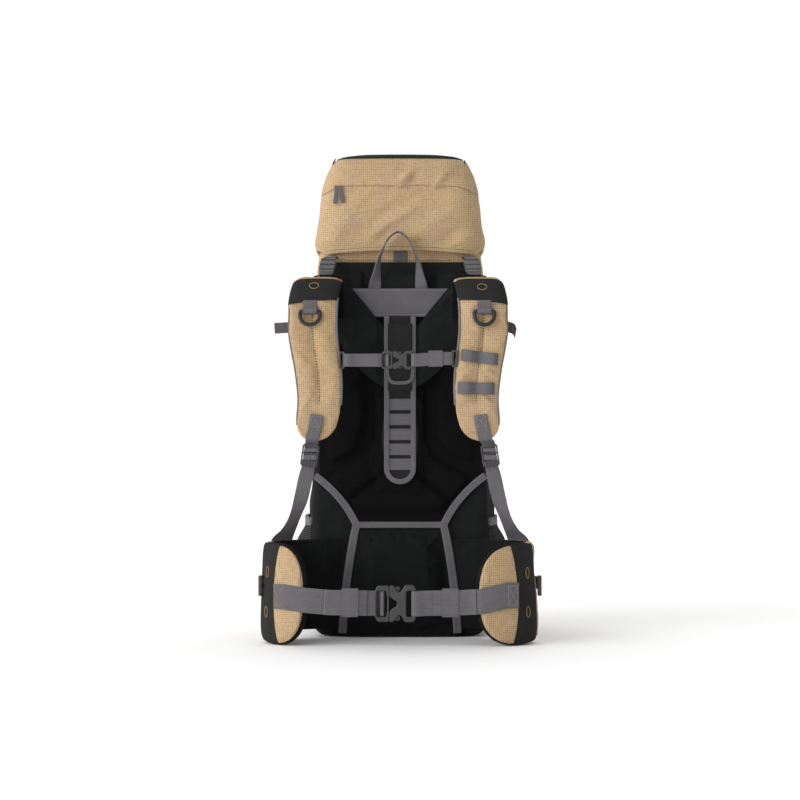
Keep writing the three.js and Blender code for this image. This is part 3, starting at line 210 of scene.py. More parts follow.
def woven_cloth(name, slot, dark, light, pitch):
    finish = Finish(name, slot, Roughness=0.9, Specular_IOR_Level=0.08)
    u, v = (length / pitch for length in finish.on_body())
    over = (u.floor() + v.floor()) % 2
    thread = over * u.hump() + (1 - over) * v.hump()
    cloud = finish.noise(u * 0.05, v * 0.05, 3.0)
    finish.feed("Base Color", finish.mix(thread * 0.5 + cloud * 0.5, dark, light))
    finish.bump(thread, 0.0003, 0.6)
    return finish


def mesh_cloth(name, slot, hole, yarn, pitch):
    finish = Finish(name, slot, Roughness=0.95, Specular_IOR_Level=0.02)
    u, v = (length / pitch for length in finish.on_body())
    row = (v * 1.155).floor()
    across = (u + row % 2 * 0.5) % 1 - 0.5
    up = (v * 1.155) % 1 - 0.5
    solid = (across * across + up * up).math("SQRT").ease(0.22, 0.33)
    finish.feed("Base Color", finish.mix(solid, hole, yarn))
    finish.bump(solid, 0.0006, 0.8)
    return finish


def webbing_cloth(name, slot, dark, light):
    finish = Finish(name, slot, Roughness=0.85, Specular_IOR_Level=0.15)
    across, along = finish.on_strip()
    rib = across / 1.9
    step = along / 1.5 + (rib.floor() % 2) * 0.5
    height = rib.hump() * (step.hump() * 0.5 + 0.5)
    wear = finish.noise(across * 0.08, along * 0.05, 3.0)
    finish.feed("Base Color", finish.mix(height * 0.6 + wear * 0.4, dark, light))
    finish.bump(height, 0.0005, 0.8)
    return finish


def thread_finish(name, slot, colour):
    finish = Finish(name, slot, Roughness=0.7, Specular_IOR_Level=0.2)
    u, v = finish.on_body()
    twist = ((u + v) / 0.5).hump()
    finish.feed("Base Color", finish.mix(twist * 0.35, colour, srgb(20, 16, 12)))
    return finish


def moulded_plastic(name, dark, light):
    finish = Finish(name, "black_plastic", IOR=1.49, Specular_IOR_Level=0.35)
    u, v = finish.on_body()
    grain = finish.noise(u * 3.2, v * 3.2, 2.0)
    finish.feed("Base Color", finish.mix(grain, dark, light))
    finish.feed("Roughness", grain * 0.18 + 0.36)
    finish.bump(grain, 0.00012, 0.5)
    return finish


LOOKS = {
    "tan": tan_cloth(),
    "black": woven_cloth("black_cloth", "black_cloth", srgb(19, 20, 20), srgb(40, 41, 41), 0.9),
    "dark": woven_cloth("dark_cloth", "dark_cloth", srgb(32, 32, 32), srgb(52, 51, 51), 0.9),
    "soft": woven_cloth("lining_cloth", "black_cloth", srgb(14, 15, 15), srgb(33, 34, 34), 1.4),
    "panel": woven_cloth("grey_cloth", "grey_webbing", srgb(84, 82, 85), srgb(114, 112, 115), 1.1),
    "mesh": mesh_cloth("air_mesh", "black_mesh", srgb(2, 2, 2), srgb(24, 24, 24), 3.0),
    "pocket": mesh_cloth("pocket_mesh", "black_mesh", srgb(6, 6, 6), srgb(60, 60, 60), 3.4),
    "web": webbing_cloth("grey_webbing", "grey_webbing", srgb(76, 74, 77), srgb(124, 121, 124)),
    "rung": webbing_cloth("dark_webbing", "grey_webbing", srgb(79, 78, 80), srgb(119, 117, 120)),
    "cord": thread_finish("grey_piping", "grey_webbing", srgb(126, 124, 127)),
    "tan_thread": thread_finish("tan_thread", "tan_cloth", srgb(186, 150, 100)),
    "brown_thread": thread_finish("brown_thread", "tan_cloth", srgb(104, 80, 52)),
    "grey_thread": thread_finish("grey_thread", "grey_webbing", srgb(178, 176, 178)),
    "dark_thread": thread_finish("dark_thread", "black_cloth", srgb(40, 32, 24)),
    "plastic": moulded_plastic("black_plastic", srgb(51, 51, 51), srgb(73, 72, 72)),
    # rim is a lighter plastic used as a painted highlight on bevelled edges and on the ladder lock teeth
    "rim": moulded_plastic("painted_highlight_plastic", srgb(64, 63, 63), srgb(90, 88, 88)),
    "wire": moulded_plastic("ring_plastic", srgb(29, 29, 30), srgb(48, 48, 49)),
}
print(len(LOOKS), "finishes")

# %% [markdown]
# Every piece is drawn from short tables in millimetres, the same ones that sized the solids. `spline`
# turns a table into an even, smooth run of rows; `skin` joins rows of points into a surface; `pillow`
# closes a grid against a second one, which is how a sewn pad or a thick sheet is made.

# %% Tables into surfaces
MM = 0.001
DEPTH = 75.4  # from the middle of the bag to the middle of the whole part
WEB, CLOTH, GAP = 1.6, 2.0, 0.4
HARNESS_WEB, HIP_WEB = 20.0, 38.0
LEFT, RIGHT = -1, 1
NAMES = {LEFT: "left", RIGHT: "right"}
HARNESS_SHIFT = -3.0
BAG_BACK = -115.0
PANEL_BACK = BAG_BACK - GAP


def ease(start, end, value):
    share = np.clip((np.asarray(value, float) - start) / (end - start), 0, 1)
    return share * share * (3 - 2 * share)


def bell(value, middle, width):
    """1 at the middle, falling off to both sides."""
    return np.exp(-(((value - middle) / width) ** 2))


def unit(rows):
    return rows / np.maximum(np.linalg.norm(rows, axis=-1, keepdims=True), 1e-9)


def lengths(path):
    return np.concatenate([[0], np.cumsum(np.linalg.norm(np.diff(path, axis=0), axis=1))])


def pick(where, run, rows):
    """Rows of a table at places along its run."""
    return np.stack([np.interp(where, run, column) for column in np.asarray(rows, float).T], -1)


def spline(rows, count):
    """Rows of a smooth curve through a table, evenly spaced by its first three columns."""
    rows = np.array(rows, float)
    run = lengths(rows[:, :3])
    slope = np.gradient(rows, run, axis=0)
    wanted = np.linspace(0, run[-1], count)
    i = np.clip(np.searchsorted(run, wanted, side="right") - 1, 0, len(run) - 2)
    step = (run[i + 1] - run[i])[:, None]
    t = (wanted - run[i])[:, None] / step
    start = rows[i] * (2 * t**3 - 3 * t**2 + 1) + slope[i] * step * (t**3 - 2 * t**2 + t)
    return start + rows[i + 1] * (3 * t**2 - 2 * t**3) + slope[i + 1] * step * (t**3 - t**2)


def skin(rings, loop=False):
    """Points and faces through rows of closed rings; a loop comes back to its first ring."""
    rings = np.asarray(rings, float)
    rows, count = rings.shape[:2]
    index = np.arange(rows * count).reshape(rows, count)
    if loop:
        index = np.vstack([index, index[:1]])
    after = np.roll(index, -1, axis=1)
    quads = np.stack([index[:-1], after[:-1], after[1:], index[1:]], -1).reshape(-1, 4).tolist()
    if not loop:
        quads += [index[0][::-1].tolist(), index[-1].tolist()]
    return rings.reshape(-1, 3), quads


def pillow(front, back):
    """Points and faces of a closed sheet between two grids of the same size."""
    rows, columns = front.shape[:2]
    near = np.arange(rows * columns).reshape(rows, columns)
    quads = []
    for index in (near, near[:, ::-1] + rows * columns):
        corners = [index[:-1, :-1], index[:-1, 1:], index[1:, 1:], index[1:, :-1]]
        quads += np.stack(corners, -1).reshape(-1, 4).tolist()
    border = np.concatenate([near[0, :-1], near[:-1, -1], near[-1, :0:-1], near[:0:-1, 0]])
    after = np.roll(border, -1)
    far = rows * columns
    quads += np.stack([border, border + far, after + far, after], -1).tolist()
    return np.concatenate([front.reshape(-1, 3), back.reshape(-1, 3)]), quads


def show(name, mesh, look, replaces=(), body="pack", sharp=42):
    mesh.materials.clear()
    mesh.materials.append(LOOKS[look].material)
    mesh.shade_smooth()
    mesh.set_sharp_from_angle(angle=math.radians(sharp))
    piece = bpy.data.objects.new(name, mesh)
    bpy.context.scene.collection.objects.link(piece)
    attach(piece, body)
    if replaces:
        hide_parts(*replaces)
    return piece


def set_cloth(mesh, lengths_mm):
    layer = mesh.attributes.new("cloth", "FLOAT_VECTOR", "POINT")
    layer.data.foreach_set("vector", np.asarray(lengths_mm, np.float32).ravel())


def make(name, surface, look, replaces=(), body="pack", cloth=None, sharp=42):
    """A shown piece from points in millimetres; cloth holds lengths across and along its weave."""
    points, faces = surface
    mesh = bpy.data.meshes.new(name)
    mesh.from_pydata(((np.asarray(points) + (0, DEPTH, 0)) * MM).tolist(), [], faces)
    work = bmesh.new()
    work.from_mesh(mesh)
    bmesh.ops.recalc_face_normals(work, faces=work.faces)
    work.to_mesh(mesh)
    work.free()
    if cloth is not None:
        set_cloth(mesh, cloth)
    return show(name, mesh, look, replaces, body, sharp)


def two_sided(piece, look, chosen):
    """Gives the chosen faces of a piece a second finish."""
    piece.data.materials.append(LOOKS[look].material)
    piece.data.polygons.foreach_set("material_index", np.asarray(chosen, np.int32))


def middles(piece):
    """Middles of a piece's faces, in millimetres from the middle of the bag."""
    found = np.zeros(len(piece.data.polygons) * 3)
    piece.data.polygons.foreach_get("center", found)
    return found.reshape(-1, 3) / MM - (0, DEPTH, 0)


def tube(path, radius, closed=False, sides=10):
    """Round bar along a path; the radius is one number or one for each point."""
    path = np.asarray(path, float)
    if closed:
        along = unit(np.roll(path, -1, axis=0) - np.roll(path, 1, axis=0))
    else:
        along = unit(np.gradient(path, axis=0))
    guide = np.array([0.31, 0.83, 0.47])
    side = unit(np.cross(along, guide))
    other = np.cross(along, side)
    angle = np.linspace(0, 2 * math.pi, sides, endpoint=False)
    radius = np.broadcast_to(radius, len(path))[:, None, None]
    spokes = side[:, None] * np.cos(angle)[None, :, None] + other[:, None] * np.sin(angle)[None, :, None]
    return skin(path[:, None] + spokes * radius, loop=closed)


print("drawing helpers ready")

# %% [markdown]
# Foam under cloth swells between its seams. Each pad gets a short cloth simulation: the seams are held,
# a little pressure fills the cloth, gravity is off, and the movement is capped so that the pad keeps its
# size. The simulated shape is kept as plain points and no simulation stays on the piece.

# %% Padding by cloth simulation
FRAMES = 18
SPARE_CLOTH = -0.03  # the cover is cut a little larger than the foam


def puff(piece, held, cap, pressure=3.5):
    """Fills a closed pad by up to a cap in millimetres; held is true where the cloth is sewn down."""
    mesh, scene = piece.data, bpy.context.scene
    count = len(mesh.vertices)
    rest = np.zeros(count * 3)
    mesh.vertices.foreach_get("co", rest)
    sewn = piece.vertex_groups.new(name="sewn")
    sewn.add(np.flatnonzero(held).tolist(), 1.0, "REPLACE")
    modifier = piece.modifiers.new("filling", "CLOTH")
    cloth = modifier.settings
    cloth.vertex_group_mass = "sewn"
    cloth.use_pressure = True
    cloth.uniform_pressure_force = pressure
    cloth.shrink_min = SPARE_CLOTH
    cloth.effector_weights.gravity = 0
    cloth.quality = 4
    modifier.collision_settings.use_collision = False
    modifier.point_cache.frame_start, modifier.point_cache.frame_end = 1, FRAMES
    for number in range(1, FRAMES + 1):
        scene.frame_set(number)
    shown = piece.evaluated_get(bpy.context.evaluated_depsgraph_get()).to_mesh()
    moved = np.zeros(count * 3)
    shown.vertices.foreach_get("co", moved)
    piece.modifiers.remove(modifier)
    piece.vertex_groups.remove(sewn)
    scene.frame_set(1)
    step = (moved - rest).reshape(-1, 3)
    size = np.linalg.norm(step, axis=1, keepdims=True)
    step *= np.minimum(1, cap * MM / np.maximum(size, 1e-9))
    mesh.vertices.foreach_set("co", rest + step.ravel())
    mesh.update()
    print(piece.name, "swelled by up to", round(float(size.max() / MM), 1), "mm before the cap")
    return piece


print("padding ready")

# %% [markdown]
# Webbing is a flat woven strip, so it is drawn as one: a rounded section carried along a path, with the
# direction of its width given. The strip keeps its lengths across and along, which the weave and the
# stitching both use. A stitch is one small dash of thread laid on the cloth.

# %% Webbing and stitches
class Strap:
    """Webbing along a path of x, y, z rows in millimetres; across says which way its width points."""

    SECTION = [
        (-0.5, 0), (-0.487, 0.75), (-0.45, 1), (-0.22, 1), (0, 1), (0.22, 1), (0.45, 1), (0.487, 0.75),
        (0.5, 0), (0.487, -0.75), (0.45, -1), (0.22, -1), (0, -1), (-0.22, -1), (-0.45, -1), (-0.487, -0.75),
    ]

    def __init__(self, path, across, width, thick=WEB, step=1.8):
        path = np.array(path, float)
        widths = np.broadcast_to(np.reshape(width, (-1, 1)), (len(path), 1))
        rows = np.hstack([path, np.broadcast_to(across, (len(path), 3)), widths])
        fine = spline(rows, max(int(lengths(path)[-1] / step), 8))
        self.at, self.width, self.thick = fine[:, :3], fine[:, 6:], thick
        self.along = unit(np.gradient(self.at, axis=0))
        sideways = fine[:, 3:6]
        self.across = unit(sideways - (sideways * self.along).sum(1, keepdims=True) * self.along)
        self.out = np.cross(self.along, self.across)
        self.run = lengths(self.at)
        self.face = -1 if self.out[:, 1].mean() > 0 else 1

    def build(self, name, look="web", replaces=()):
        u, v = np.array(self.SECTION).T
        wide = u[None, :, None] * self.width[:, None]
        deep = v[None, :, None] * self.thick / 2
        rings = self.at[:, None] + self.across[:, None] * wide + self.out[:, None] * deep
        lengthwise = np.broadcast_to(self.run[:, None], wide.shape[:2])
        cloth = np.stack([wide[..., 0], lengthwise, np.zeros_like(lengthwise)], -1)
        return make(name, skin(rings), look, replaces, cloth=cloth.reshape(-1, 3))

    def line(self, thread, start, end, **stitch):
        """A row of stitches on the harness face between two (run, side) places."""
        places = np.linspace(start, end, 24)
        out = pick(places[:, 0], self.run, self.out) * self.face
        at = pick(places[:, 0], self.run, self.at)
        side = pick(places[:, 0], self.run, self.across) * places[:, 1:]
        thread.row(at + side + out * (self.thick / 2), out, **stitch)

    def box_cross(self, thread, start, end, half, **stitch):
        """The box with a cross in it that holds a strap's end."""
        corners = [(start, -half), (start, half), (end, half), (end, -half)]
        for i, corner in enumerate(corners):
            self.line(thread, corner, corners[(i + 1) % 4], **stitch)
        self.line(thread, corners[0], corners[2], **stitch)
        self.line(thread, corners[1], corners[3], **stitch)


def flat_strap(points, y, width, thick=WEB):
    """Strap that lies flat against the harness side along x and z places."""
    points = np.array(points, float)
    path = np.stack([points[:, 0], np.full(len(points), y), points[:, 1]], -1)
    along = unit(np.gradient(path, axis=0))
    return Strap(path, np.cross(along, (0, -1, 0)), width, thick)


class Thread:
    """Stitches of one colour, collected into one piece."""

    def __init__(self):
        self.points, self.faces = [], []

    def dash(self, start, end, out, wide=0.8, high=0.45):
        along = end - start
        side = unit(np.cross(out, along)) * wide / 2
        up = unit(out) * high
        ring = [side, up, -side, -0.4 * up]
        first = len(self.points)
        self.points.append(start)
        for share in (0.2, 0.8):
            self.points += [start + along * share + spoke for spoke in ring]
        self.points.append(end)
        for i in range(4):
            a, b = first + 1 + i, first + 1 + (i + 1) % 4
            self.faces += [(first, b, a), (a, b, b + 4, a + 4), (first + 9, a + 4, b + 4)]

    def row(self, path, out, pitch=3.4, share=0.66, **size):
        run = lengths(path)
        for start in np.arange(0, run[-1] - pitch * share, pitch):
            a, b = pick([start, start + pitch * share], run, path)
            self.dash(a, b, pick([start], run, out)[0], **size)

    def build(self, name, look):
        print(name, "has", len(self.points) // 10, "stitches")
        return make(name, (np.array(self.points), self.faces), look, sharp=180)


class Drape:
    """Finds where a line toward +Y first meets some pieces."""

    def __init__(self, *pieces):
        points, faces = [], []
        for piece in pieces:
            first = len(points)
            points += [vertex.co for vertex in piece.data.vertices]
            faces += [[first + i for i in face.vertices] for face in piece.data.polygons]
        self.tree = BVHTree.FromPolygons(points, faces)

    def drop(self, x, z):
        hit, normal, _, _ = self.tree.ray_cast(Vector((x * MM, -1, z * MM)), Vector((0, 1, 0)))
        if hit is None:
            raise ValueError(f"nothing at x {x}, z {z}")
        normal = np.array(normal)
        return np.array(hit) / MM - (0, DEPTH, 0), normal * (-1 if normal[1] > 0 else 1)

    def row(self, thread, corners, **stitch):
        """Stitches along a line of x and z corners, laid on the cloth every 3 mm."""
        corners = np.array(corners, float)
        run = lengths(corners)
        found = [self.drop(*place) for place in pick(np.arange(0, run[-1], 3.0), run, corners)]
        thread.row(np.array([at for at, _ in found]), np.array([out for _, out in found]), **stitch)

    def eyelet(self, name, x, z, radius):
        """A ring of tan thread sewn flat on the cloth, with the radius given both ways."""
        at, out = self.drop(x, z)
        level = unit(np.cross(out, (0, 0, 1)))
        steep = np.cross(level, out)
        angle = np.linspace(0, 2 * math.pi, 28, endpoint=False)[:, None]
        ring = at + out * 0.6 + level * np.cos(angle) * radius[0] + steep * np.sin(angle) * radius[1]
        return make(name, tube(ring, 0.45, closed=True, sides=8), "tan_thread")


brown, tan_line, grey_line, dark_line = Thread(), Thread(), Thread(), Thread()
print("webbing and stitches ready")

# %% [markdown]
# Buckles, locks and sliders are injection moulded: flat plates with slots and rounded edges. A filled
# flat curve with a small bevel is the quickest honest way to draw one.

# %% Moulded plates
def filleted(points, radius):
    """The outline again, with its corners rounded."""
    points = np.array(points, float)
    rounded = []
    for before, corner, after in zip(np.roll(points, 1, axis=0), points, np.roll(points, -1, axis=0)):
        ends = []
        for other in (before, after):
            size = np.linalg.norm(other - corner)
            ends.append(corner + (other - corner) * min(radius / size, 0.45))
        for t in np.linspace(0, 1, 4):
            rounded.append((1 - t) ** 2 * ends[0] + 2 * t * (1 - t) * corner + t**2 * ends[1])
    return np.array(rounded)


def box(x0, x1, z0, z1):
    return [(x0, z0), (x1, z0), (x1, z1), (x0, z1)]


def moulded(outlines, thick, edge=0.7, fillet=1.2):
    """Mesh of a plate drawn in x and z about y = 0; outlines after the first are its holes."""
    curve = bpy.data.curves.new("plate", "CURVE")
    curve.dimensions, curve.fill_mode = "2D", "BOTH"
    curve.extrude, curve.bevel_depth = (thick / 2 - edge) * MM, edge * MM
    curve.bevel_resolution, curve.offset = 2, -edge * MM
    for outline in outlines:
        corners = filleted(outline, fillet)
        line = curve.splines.new("POLY")
        line.points.add(len(corners) - 1)
        for point, (x, z) in zip(line.points, corners):
            point.co = (x * MM, z * MM, 0, 1)
        line.use_cyclic_u = True
    holder = bpy.data.objects.new("plate", curve)
    mesh = bpy.data.meshes.new_from_object(holder)
    bpy.data.objects.remove(holder)
    mesh.transform(Matrix.Rotation(math.pi / 2, 4, "X"))
    return mesh


def place(name, mesh, at, look, replaces=(), turn=None):
    """Shows a mesh at a place in millimetres, turned first if a rotation is given."""
    x, y, z = at
    # Bevel faces turned part way toward the camera axis are picked here for the painted highlight.
    edges = [0.25 < abs(face.normal.y) < 0.93 for face in mesh.polygons]
    spot = Matrix.Translation(Vector((x, y + DEPTH, z)) * MM)
    mesh.transform(spot @ turn if turn else spot)
    flat = np.zeros(len(mesh.vertices) * 3)
    mesh.vertices.foreach_get("co", flat)
    set_cloth(mesh, flat.reshape(-1, 3)[:, (0, 2, 1)] / MM)
    mesh.name = name
    piece = show(name, mesh, look, replaces, sharp=32)
    # Moulded plates get the lighter rim plastic on those bevels: a painted highlight along their edges.
    if look == "plastic":
        two_sided(piece, "rim", edges)
    return piece


print("moulding ready")

# %% [markdown]
# The bag is a tube of coated nylon with a black boot. It stands full, so the walls only show shallow
# puckers. Each wall is a real double layer with the mouth open at the top, and the two pieces overlap at
# their seam.

# %% Bag and base
BAG = np.array([  # z, half width, front, harness corner radius, far corner radius
    (66.4, 138, 117, 14, 62), (130, 138, 121, 14, 62), (230, 138, 123, 14, 62), (360, 136.5, 123, 14, 62),
    (500, 134, 120, 14, 62), (584, 131, 114, 40, 62), (608, 127, 108, 40, 62),
])
BASE = np.array([  # z, half width, back, front
    (0, 112, -100, 90), (3, 125, -110, 105), (12, 134, -114, 113), (30, 138, -115, 116), (66, 138, -115, 117),
])
BAG_TOP, BOOT_FOOT, BOOT_TOP = 608.0, 66.4, 254.0
NEAR_CORNER, FAR_CORNER = 14, 62
BOOT_SWELL = {LEFT: 6.5, RIGHT: 12.5}


def ring_plan(half, back, front, near, far, inset=0.0, crown=0.0, fine=34):
    """Rounded box seen from above, as x and y, anticlockwise from the harness edge's right end."""
    def corner(sign, y, up, radius, start):
        angle = np.radians(start + np.linspace(0, 90, 9))
        middle = np.array([sign * (half - radius), y - up * radius])
        return middle + (radius - inset) * np.stack([np.cos(angle), np.sin(angle)], 1)

    def between(start, end, count, bulge):
        share = np.linspace(0, 1, count + 2)[1:-1]
        line = start + (end - start) * share[:, None]
        line[:, 1] += bulge * (1 - (2 * share - 1) ** 2)
        return line

    a, b = corner(1, back, -1, near, -90), corner(1, front, 1, far, 0)
    c, d = corner(-1, front, 1, far, 90), corner(-1, back, -1, near, 180)
    edges = (between(a[-1], b[0], 16, 0), between(b[-1], c[0], 26, crown))
    back_edges = (between(c[-1], d[0], 16, 0), between(d[-1], a[0], fine, -crown))
    return np.vstack([a, edges[0], b, edges[1], c, back_edges[0], d, back_edges[1]])


def at_height(plan, z):
    return np.column_stack([plan, np.full(len(plan), z)])


def puckers(points):
    """Depth of the soft creases that run down a full bag's walls, away from the harness."""
    x, y, z = points.T
    wave = np.sin(z / 31 + x / 19 - y / 26) + 0.7 * np.sin(z / 13 - y / 17 + 1.3) * np.sin(z / 57)
    return 1.1 * np.maximum(wave, 0) ** 2 * ease(-100, -60, y)


def boot_bulge(points):
    """How far the boot's sides swell over what is packed in them; the right side swells more."""
    x, y, z = points.T
    outward = np.where(x > 0, BOOT_SWELL[RIGHT], BOOT_SWELL[LEFT]) * np.sign(x) * ease(100, 130, abs(x))
    return outward * ease(-112, -60, y) * ease(110, 40, y) * (ease(256, 205, z) * ease(70, 150, z))


def bag_wall(low, high, rows, inset):
    run = spline(BAG, 160)
    rings = []
    for z in np.linspace(low, high, rows):
        half, front, near, far = pick([z], run[:, 0], run[:, 1:])[0]
        outer = at_height(ring_plan(half, BAG_BACK, front, near, far, inset), z)
        inner = at_height(ring_plan(half, BAG_BACK, front, near, far, inset + CLOTH), z)
        drawn = 1 - puckers(outer)[:, None] / np.maximum(np.linalg.norm(outer[:, :2], axis=1), 1)[:, None]
        outer = outer * np.where([True, True, False], drawn, 1)
        for ring in (outer, inner):
            ring[:, 0] += boot_bulge(ring)
        rings.append((outer, inner))
    return [outer for outer, _ in rings] + [inner for _, inner in rings[::-1]]


upper_wall = bag_wall(BOOT_TOP - 8, BAG_TOP, 64, 0)
bag_upper = make("bag_upper", skin(upper_wall, loop=True), "tan", ["bag_body"])
column = np.arange(len(bag_upper.data.polygons)) % len(upper_wall[0])
behind_panel = (column < 5) | (column >= 85)
two_sided(bag_upper, "black", behind_panel & (middles(bag_upper)[:, 2] < 545))
make("bag_boot", skin(bag_wall(BOOT_FOOT, BOOT_TOP, 36, -0.3), loop=True), "black")

tray = spline(BASE, 40)
corners = (NEAR_CORNER, FAR_CORNER)
outer = [at_height(ring_plan(*size, *corners), max(z, 0)) for z, *size in tray]
inner = [at_height(ring_plan(*size, *corners, CLOTH), z) for z, *size in tray[::-1][:-9]]
make("base_tray", skin(outer + inner), "black", ["bag_base"])
print("bag, boot and base")

# %% [markdown]
# The lid is a soft pocket. A storm flap covers its zip, its rim is hemmed and lifts in the middle, and
# the cloth over the harness side carries long diagonal folds. The folds are listed as short lines with a
# width and a height, which keeps each one where it is on the real lid.

# %% Lid
LID = np.array([  # z, half width, back, front
    (598, 129, -126.2, 120), (607, 131, -128, 123), (617, 134.8, -128.8, 124.4), (645, 131, -129.2, 125),
    (685, 126, -127, 120), (711, 122, -124, 114), (726, 117.6, -121, 109), (740, 112.2, -113, 99),
    (750, 107, -103, 86), (756, 99, -92, 72),
])
LID_FOOT, LID_TOP = LID[0, 0], LID[-1, 0]
LID_CORNERS, LID_CROWN = (42, 55), 3.0
LID_ARCH, ARCH_HALF = 9.0, 133.5  # how far the rim lifts in its middle, and half the width that lifts
LID_TOP_PANEL = [  # z, half width, back, front
    (755.4, 100, -95, 76), (757.6, 97, -94, 75), (761.4, 84, -84, 65), (764.4, 66, -58, 45),
    (766.5, 40, -20, 25),
]
LID_TOP_UNDER = [(757.5, 80, -70, 50), (756, 96, -90, 69.5), (755.2, 99, -93, 73.5)]
HEM = [  # steps up and out from the rim
    (9, -2.4), (0.6, -2.3), (0, -1.2), (0.3, 0.2), (1.4, 0.8), (4.6, 0.8), (5.8, 0.1), (7, 0.5),
]
HEM_TOP = 7
FLAP_EDGE = [  # steps up and out from the storm flap's edge
    (2.5, 0.2), (0.4, 0.8), (-1.4, 1.0), (-2, 1.9), (-1.2, 2.7), (1.2, 3.0), (3.6, 2.5), (4.6, 2.7),
]
FOLDS = [  # from x, z to x, z, width, height
    (-4, 711, 22, 736, 6, 6.4), (14, 709, 30, 730, 6, -3.6), (54, 709, 74, 730, 6, 4.0),
    (70, 712, 98, 742, 8, -3.6), (100, 702, 112, 742, 5, 2.2), (88, 716, 96, 748, 5, -2.4),
    (-86, 672, -34, 708, 9, 2.8), (-60, 650, 62, 704, 11, -3.4), (-34, 640, 44, 692, 8, 3.2),
    (-70, 628, -20, 668, 10, -2.2), (20, 628, 108, 690, 13, 3.4), (56, 612, 122, 664, 9, -3.8),
    (70, 606, 120, 634, 6, 3.4), (-112, 616, -76, 664, 9, 2.8), (-122, 630, -108, 676, 7, -2.2),
    (0, 606, 26, 632, 6, 3.4), (-44, 614, -10, 640, 9, -2.4),
]
ARCH_SEAM = [(-108, 634), (-86, 658), (-60, 670), (-31, 674), (19, 673.5), (58, 668), (79, 662)]

lid_levels = np.linspace(LID_FOOT, LID_TOP, 130)
lid_table = spline(LID, 240)
lid_sizes = pick(lid_levels, lid_table[:, 0], lid_table[:, 1:])
lid_plans = np.array([ring_plan(*size, *LID_CORNERS, crown=LID_CROWN, fine=110) for size in lid_sizes])
turn = np.roll(lid_plans[60], -1, axis=0) - np.roll(lid_plans[60], 1, axis=0)
lid_out = unit(np.column_stack([turn[:, 1], -turn[:, 0]]))


def from_lines(x, z, lines):
    """Smallest distance to a chain of points, and the share of its length there."""
    best, share = np.full(np.shape(x), 1e9), np.zeros(np.shape(x))
    run = lengths(np.array(lines, float))
    for i, ((ax, az), (bx, bz)) in enumerate(zip(lines, lines[1:])):
        wide, high = bx - ax, bz - az
        t = np.clip(((x - ax) * wide + (z - az) * high) / (wide**2 + high**2), 0, 1)
        away = np.hypot(x - ax - t * wide, z - az - t * high)
        share = np.where(away < best, run[i] + t * (run[i + 1] - run[i]), share)
        best = np.minimum(away, best)
    return best, share / run[-1]


def lid_folds(x, z):
    height = np.zeros(len(x))
    for ax, az, bx, bz, width, rise in FOLDS:
        away, share = from_lines(x, z, [(ax, az), (bx, bz)])
        height += rise * bell(away, 0, width) * (0.35 + 0.65 * np.sin(math.pi * share))
    away, _ = from_lines(x, z, ARCH_SEAM)
    return height + 0.9 * bell(away, 0, 2.2) - 0.6 * bell(away, 4.5, 2.5)


def lid_row(z, out, folded=1.0):
    """Ring of the lid with its own height and outward step at each point."""
    last = len(lid_levels) - 1
    level = np.clip((z - LID_FOOT) / (LID_TOP - LID_FOOT) * last, 0, last - 0.001)
    low = level.astype(int)
    each = np.arange(len(z))
    under, over = lid_plans[low, each], lid_plans[low + 1, each]
    plan = under + (over - under) * (level - low)[:, None]
    toward = np.clip(-lid_out[:, 1], 0, 1)
    far = -0.9 * np.abs(np.sin(z / 14 + plan[:, 0] / 25) * np.sin(plan[:, 1] / 21 - z / 33))
    soft = folded * (lid_folds(plan[:, 0], z) * toward + far * (1 - toward))
    out = np.where(out > 0, out * (0.15 + 0.85 * toward), out)
    return np.column_stack([plan + lid_out * (out + soft)[:, None], z])


x, y = lid_plans[0].T
arch = LID_ARCH * np.maximum(0, 1 - (x / ARCH_HALF) ** 2) * ease(-60, -115, y) * (y < 0)
rim = LID_FOOT + arch + 9 * ease(-117, -98, y)
x, y = lid_plans[90].T
flap = np.where(y < -60, 711 - 13 * ease(84, 128, np.abs(x)), 699.0)
flap = flap - 2.4 * bell(x, 1, 5) - 2.0 * bell(x, 56, 7) + bell(x, 30, 12)
rows = [lid_row(rim + up, out, 0.4) for up, out in HEM]
for share in np.linspace(0.03, 0.985, 44):
    z = rim + HEM_TOP + (flap - rim - HEM_TOP) * share
    rows.append(lid_row(z, 0.0, ease(0, 0.12, share) * 0.6 + 0.4))
rows += [lid_row(flap + up, out, 0.9) for up, out in FLAP_EDGE]
for share in np.linspace(0.06, 1, 30):
    z = flap + 4 + (LID_TOP - flap - 4) * share
    rows.append(lid_row(z, 2.6 * (1 - ease(0, 40, z - flap)), 1 - 0.7 * share))
crown = [(0, -10, 0) + (rows[-1] - (0, -10, 0)) * share for share in (0.6, 0.15)]
for ring in crown:
    ring[:, 2] = 758
lid = make("lid_cloth", skin(rows + crown), "tan", ["lid_cap"], sharp=60)

floor_ring = ring_plan(135.5, -126.6, 123.2, *LID_CORNERS, inset=CLOTH + GAP)
make("lid_lining", skin([at_height(floor_ring, z) for z in (608.4, 609, 610.4)]), "tan", ["lid_floor"])

rings = []
for z, half, back, front in [*LID_TOP_UNDER, *spline(LID_TOP_PANEL, 26)]:
    corners = np.minimum(LID_CORNERS, min(half, (front - back) / 2) * 0.6)
    rings.append(at_height(ring_plan(half, back, front, *corners, crown=LID_CROWN), z))
make("lid_top_cloth", skin(rings), "dark", ["lid_top_panel"])
piping = at_height(ring_plan(100, -95.2, 76.6, *LID_CORNERS, crown=LID_CROWN), 755.8)
make("lid_top_piping", tube(piping, 0.9, closed=True), "dark")
ZIP_ENDS = {
    LEFT: [(-107.3, -80, 745.5), (-104.8, -82, 750.5), (-101.8, -84, 755.5)],
    RIGHT: [(104.5, -80, 746.5), (103.3, -82, 749.5), (101.6, -84, 753.5)],
}
for side, tip in ZIP_ENDS.items():
    radius = np.interp(np.arange(9), (0, 4, 8), (0.6, 1.4, 0.5))
    make(f"zip_end_{NAMES[side]}", tube(spline(tip, 9), radius), "black")
